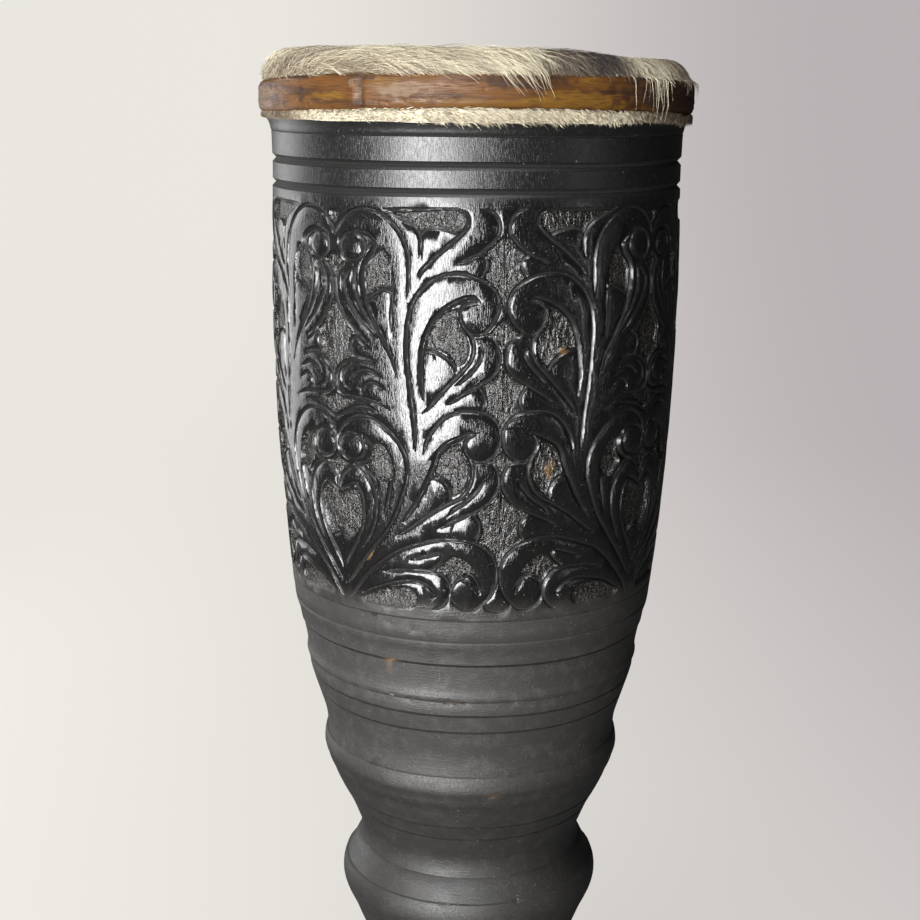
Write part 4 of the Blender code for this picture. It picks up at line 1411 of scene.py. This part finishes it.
# The folded skin's path: distance from the centre over the skin, radius, height
COAT_PATH = np.array([
    (0.0, 0.0, 508.3), (74.0, 74.0, 508.3), (77.6, 77.5, 507.7), (80.4, 79.9, 506.3), (83.2, 81.9, 504.3),
    (86.4, 83.2, 501.7), (88.6, 84.9, 500.6), (90.0, 85.4, 499.4), (98.6, 85.4, 490.8),
    (100.4, 85.0, 489.2),
    (104.0, 84.2, 485.6), (110.0, 83.0, 479.8)])
TUCKED_PATH = np.array([
    (0.0, 0.0, 508.3), (74.0, 74.0, 508.3), (77.6, 77.5, 507.7), (80.4, 79.9, 506.3), (83.2, 81.9, 504.3),
    (86.0, 83.1, 501.9), (87.6, 83.4, 500.4), (90.0, 82.6, 498.2), (98.0, 82.0, 490.4)])
FRINGE_PATH = np.array([
    (88.0, 82.2, 488.4), (89.4, 83.5, 488.0), (90.6, 83.8, 487.0), (93.0, 83.7, 484.6), (95.6, 83.1, 482.1),
    (99.6, 82.3, 478.2), (110.0, 81.2, 468.4)])
PATH_HOOP_TOP = HOOP_MIDDLE + 6.6
PATH_HOOP_FOOT = HOOP_MIDDLE - 6.6
SLOPE_REACH = 0.6
FRINGE_START = 89.1
BELOW_HOOP = 487.0
ABOVE_HOOP = 500.0


def path_at(path, reach):
    """Radius and height of a path at a distance over the skin."""
    return np.interp(reach, path[:, 0], path[:, 1]), np.interp(reach, path[:, 0], path[:, 2])


def folded(path, x, y, lift):
    """From the flat skin to the drum: flat x and y and a lift off the skin, in millimetres."""
    reach = np.hypot(x, y)
    angle = np.arctan2(x, -y)
    radius, height = path_at(path, reach)
    after_radius, after_height = path_at(path, reach + SLOPE_REACH)
    before_radius, before_height = path_at(path, reach - SLOPE_REACH)
    slope_radius = after_radius - before_radius
    slope_height = after_height - before_height
    length = np.maximum(np.hypot(slope_radius, slope_height), 1e-6)
    top = hoop_edge(angle, 1.0) - PATH_HOOP_TOP
    foot = hoop_edge(angle, -1.0) - PATH_HOOP_FOOT
    shift = top * ease((508.0 - height) / 6.0) * ease((height - 489.0) / 8.0)
    shift = shift + foot * ease((497.0 - height) / 8.0)
    flat = lying_flat(angle)
    lift = lift * (1.0 - 0.65 * flat)
    if path is TUCKED_PATH:
        lift = lift * (0.25 + 0.75 * ease((89.5 - reach) / 5.0))
    sag = 1.1 * flat * ease(reach / 60.0) * ease((height - 499.0) / 4.0)
    radius = radius - slope_height / length * lift - sag * ease((reach - 72.0) / 6.0)
    height = height + slope_radius / length * lift + shift - sag
    return on_drum(angle, radius, height)


def trimmed(angle):
    """How much of the fringe's length is left: most at the front, little at the left."""
    degrees = np.degrees(angle)
    left = ease((degrees + 24.0) / 22.0)
    right = 1.0 - 0.58 * ease((degrees - 15.0) / 16.0)
    back = 0.5 * ease((np.abs(degrees) - 110.0) / 30.0)
    ragged = 1.0 + 0.3 * round_noise(angle, 52, 72)
    return np.maximum((0.42 + 0.58 * left) * right, back) * ragged


def hair_lines(seed, count, reach, turns, lengths, path, joints, lifts, limit, spread,
               heading=0.0, thick=1.0, tint=None, shadow=0.0):
    """Guide lines for one part of the coat, as points and masks; reach and turns say where the roots lie."""
    chance = np.random.default_rng(seed)
    root_reach = np.sqrt(chance.uniform(reach[0] ** 2, reach[1] ** 2, count))
    root_turn = np.radians(chance.uniform(turns[0], turns[1], count))
    is_fringe = path is FRINGE_PATH
    if is_fringe:
        share_down = (root_reach - reach[0]) / (reach[1] - reach[0])
        root_reach = FRINGE_START + share_down * (0.3 + skirt_height(root_turn))
    root_x = root_reach * np.sin(root_turn)
    root_y = -root_reach * np.cos(root_turn)
    drift = ring_noise(root_turn, root_reach, 70, 5.0, seed + 1)
    way = COMB_TURN + heading + spread * (0.55 * drift + 0.5 * chance.normal(0.0, 1.0, count))
    bend = chance.normal(0.0, 0.30, count) * min(1.0, spread / 0.3)
    length = chance.uniform(lengths[0], lengths[1], count)
    if is_fringe:
        length = length * trimmed(root_turn)
        way = way + 0.6 * np.clip(root_turn, 0.0, 1.2)
    rise = chance.uniform(lifts[0], lifts[1], count)
    shade = hair_tint(root_x, root_y, np.full(count, BELOW_HOOP if is_fringe else ABOVE_HOOP))
    tuft = 0.16 * np.maximum(ring_noise(root_turn, root_reach, 330, 1.6, seed + 2), 0.0)
    shade = np.clip(shade + shadow + tuft + np.abs(chance.normal(0.0, 0.20, count)), 0.0, 1.0)
    if tint is not None:
        shade = np.clip(tint + chance.normal(0.0, 0.08, count), 0.0, 1.0)
    share = np.linspace(0.0, 1.0, joints)[None, :]
    turn = way[:, None] + bend[:, None] * share
    step = length[:, None] / (joints - 1)
    x = root_x[:, None] + np.cumsum(np.cos(turn) * step, axis=1) - np.cos(turn[:, :1]) * step
    y = root_y[:, None] + np.cumsum(np.sin(turn) * step, axis=1) - np.sin(turn[:, :1]) * step
    free_reach = np.hypot(x, y)
    low, high = limit
    held = np.clip(free_reach, low, high + chance.uniform(0.0, 0.7, count)[:, None])
    x = x * held / np.maximum(free_reach, 1e-6)
    y = y * held / np.maximum(free_reach, 1e-6)
    lift = 0.1 + rise[:, None] * np.sin(share * math.pi * 0.72) * (0.5 + 0.08 * length[:, None])
    points = folded(path, x, y, lift)
    thickness = thick * chance.uniform(0.75, 1.25, count)
    masks = [np.repeat(shade[:, None], joints, 1), np.repeat(share, count, 0)]
    return points, *masks, np.repeat(thickness[:, None], joints, 1)


def line_mesh(name, bundles):
    """One mesh of loose lines from several bundles, with its masks."""
    points = np.vstack([bundle[0].reshape(-1, 3) for bundle in bundles]) * MM
    edges = []
    start = 0
    for bundle in bundles:
        count, joints = bundle[0].shape[:2]
        first = start + np.arange(count)[:, None] * joints + np.arange(joints - 1)[None, :]
        edges.append(np.stack([first, first + 1], axis=-1).reshape(-1, 2))
        start += count * joints
    mesh = bpy.data.meshes.new(name)
    mesh.from_pydata(points.tolist(), np.vstack(edges).tolist(), [])
    for number, label in ((1, "tint"), (2, "along"), (3, "thick")):
        write_mask(mesh, label, np.concatenate([bundle[number].ravel() for bundle in bundles]))
    return mesh


print("coat combed", round(math.degrees(COMB_TURN)), "degrees from the right")

# %% [markdown]
# The tree below waves every line with one shared noise, so that neighbours move together into small locks,
# and sweeps a three-sided section along it that thins out towards the tip.

# %% Hair tree
def hair_tree():
    """Waves guide lines, sweeps a tapering section along them and gives them their material."""
    inputs = [
        ("Lines", "NodeSocketGeometry", None),
        ("Hair radius", "NodeSocketFloat", 0.00014),
        ("Wave", "NodeSocketFloat", 0.0009),
        ("Wave scale", "NodeSocketFloat", 260.0),
        ("Seed", "NodeSocketFloat", 3.0),
        ("Hair material", "NodeSocketMaterial", None),
    ]
    tree, entry, leave = new_tree("hair coat", "GeometryNodeTree", inputs, [("Hair", "NodeSocketGeometry")])
    given = entry.outputs

    def named(label):
        kind = "GeometryNodeInputNamedAttribute"
        return add_node(tree, kind, {"Name": label}, "Attribute", data_type="FLOAT")

    noise_inputs = {
        "Vector": add_node(tree, "GeometryNodeInputPosition"),
        "Scale": given["Wave scale"],
        "W": given["Seed"],
        "Detail": 2.0,
    }
    noise = add_node(tree, "ShaderNodeTexNoise", noise_inputs, "Color", noise_dimensions="4D")
    middle = (0.5, 0.5, 0.5)
    centred_noise = add_node(tree, "ShaderNodeVectorMath", {0: noise, 1: middle}, operation="SUBTRACT")
    amount = times(tree, times(tree, named("along"), given["Wave"]), 2.0)
    wave = add_node(tree, "ShaderNodeVectorMath", {0: centred_noise, "Scale": amount}, operation="SCALE")
    waved = add_node(tree, "GeometryNodeSetPosition", {"Geometry": given["Lines"], "Offset": wave})
    curves = add_node(tree, "GeometryNodeMeshToCurve", {"Mesh": waved})
    ring = {"Resolution": 3, "Radius": given["Hair radius"]}
    section = add_node(tree, "GeometryNodeCurvePrimitiveCircle", ring)
    taper = add_math(tree, "SUBTRACT", 1.0, times(tree, named("along"), 0.85))
    thickness = times(tree, taper, named("thick"))
    sweep = {"Curve": curves, "Profile Curve": section, "Scale": thickness}
    swept = add_node(tree, "GeometryNodeCurveToMesh", sweep)
    real = add_node(tree, "GeometryNodeRealizeInstances", {0: swept})
    finish = {"Geometry": real, "Material": given["Hair material"]}
    tree.links.new(add_node(tree, "GeometryNodeSetMaterial", finish), leave.inputs["Hair"])
    return tree


HAIR_TREE = hair_tree()


def grown(name, bundles, hair_radius, wave, seed):
    """Grows one part of the coat from its guide lines, as a plain mesh that rides the drum."""
    piece = centred(name, line_mesh(name, bundles), HAIR)
    coat = piece.modifiers.new("coat", "NODES")
    coat.node_group = HAIR_TREE
    settings = {"Hair radius": hair_radius, "Wave": wave, "Seed": seed, "Hair material": HAIR}
    sockets = {item.name: item.identifier for item in HAIR_TREE.interface.items_tree}
    for label, value in settings.items():
        coat[sockets[label]] = value
    take_modifier_result(piece)
    piece.data.shade_smooth()
    piece.data.calc_loop_triangles()
    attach(piece, "root")
    print(name, "has", len(piece.data.loop_triangles), "triangles")
    return piece


# %% [markdown]
# ## Growing the coat
# The coat grows in parts, from the skin outwards: short under-hair, the longer hair that lies over it and
# over the rim's edge, the top of the head, the trimmed fringe below the hoop, the few long locks that hang
# over the hoop, and last the loose wisps that stand off it. Each part has its own thickness and wave, in
# metres.

# %% The parts of the coat
ALL_ROUND = (-180.0, 180.0)
edge_limit = (0.0, 94.0)
under = hair_lines(
    101, 9800, (74.0, 87.0), ALL_ROUND, (5.0, 9.0), TUCKED_PATH, 4, (0.10, 0.8), edge_limit, 0.42,
    shadow=0.20)
over = hair_lines(
    111, 5700, (66.0, 85.0), ALL_ROUND, (12.0, 22.0), TUCKED_PATH, 6, (0.35, 1.5), edge_limit, 0.34)
edge = hair_lines(
    115, 700, (84.0, 87.0), ALL_ROUND, (2.0, 5.0), COAT_PATH, 4, (0.3, 1.2), (0.0, 91.5), 0.5)
top = hair_lines(
    121, 8200, (0.0, 76.0), ALL_ROUND, (10.0, 17.0), COAT_PATH, 4, (0.3, 1.2), edge_limit, 0.40, thick=1.5)
grown("coat_under", [under], 0.00015, 0.0008, 1.0)
grown("coat_over", [over, edge], 0.00013, 0.0010, 2.0)
grown("coat_top", [top], 0.00016, 0.0010, 3.0)

fringe_limit = (88.2, 120.0)
fringe = hair_lines(
    131, 8200, (89.0, 93.6), ALL_ROUND, (2.6, 5.0), FRINGE_PATH, 4, (0.2, 0.9), fringe_limit, 0.30)
grown("fringe", [fringe], 0.00014, 0.0006, 4.0)

# Long locks: seed, count, reach, turns, lengths, joints, lifts, spread, heading, thickness, tint
LOCKS = [
    (141, 46, (76.0, 84.0), (0.0, 7.0), (15.0, 21.0), 8, (0.3, 0.8), 0.12, -0.08, 0.9, 0.02),
    (142, 9, (80.0, 86.0), (9.0, 15.0), (12.0, 16.0), 8, (0.3, 0.7), 0.10, -0.30, 0.9, 0.0),
    (143, 9, (84.0, 87.0), (-17.0, -3.0), (9.0, 13.0), 8, (0.3, 0.7), 0.10, -0.06, 0.9, 0.0),
    (144, 27, (76.0, 85.0), (44.0, 54.0), (15.0, 23.0), 8, (0.4, 1.0), 0.16, -0.02, 0.9, 0.08),
    (145, 1, (86.0, 87.0), (40.0, 41.0), (14.0, 15.0), 8, (0.2, 0.3), 0.02, -0.20, 0.9, 0.0),
    # Short locks on the right end, tinted darker as painted shade.
    (146, 46, (85.0, 88.0), (62.0, 120.0), (4.0, 9.0), 7, (0.4, 1.2), 0.3, 0.0, 1.0, 0.40),
]
loose = (0.0, 120.0)
locks = [
    hair_lines(*values[:5], COAT_PATH, *values[5:7], loose, *values[7:])
    for values in LOCKS
]
grown("long_locks", locks, 0.00012, 0.0007, 5.0)

# Wisps: seed, count, reach, turns, lengths, joints, lifts, spread, tint
WISPS = [
    (151, 700, (56.0, 84.0), ALL_ROUND, (7.0, 13.0), 5, (0.9, 2.0), 0.8, None),
    (152, 420, (79.0, 86.0), (-125.0, -48.0), (3.0, 7.0), 4, (1.2, 3.0), 0.9, None),
    (153, 90, (70.0, 84.0), (10.0, 42.0), (7.0, 13.0), 6, (0.6, 1.6), 0.9, 0.28),
]
wisps = [
    hair_lines(*values[:5], TUCKED_PATH, *values[5:7], edge_limit, values[7], tint=values[8])
    for values in WISPS
]
grown("wisps", wisps, 0.00011, 0.0010, 6.0)
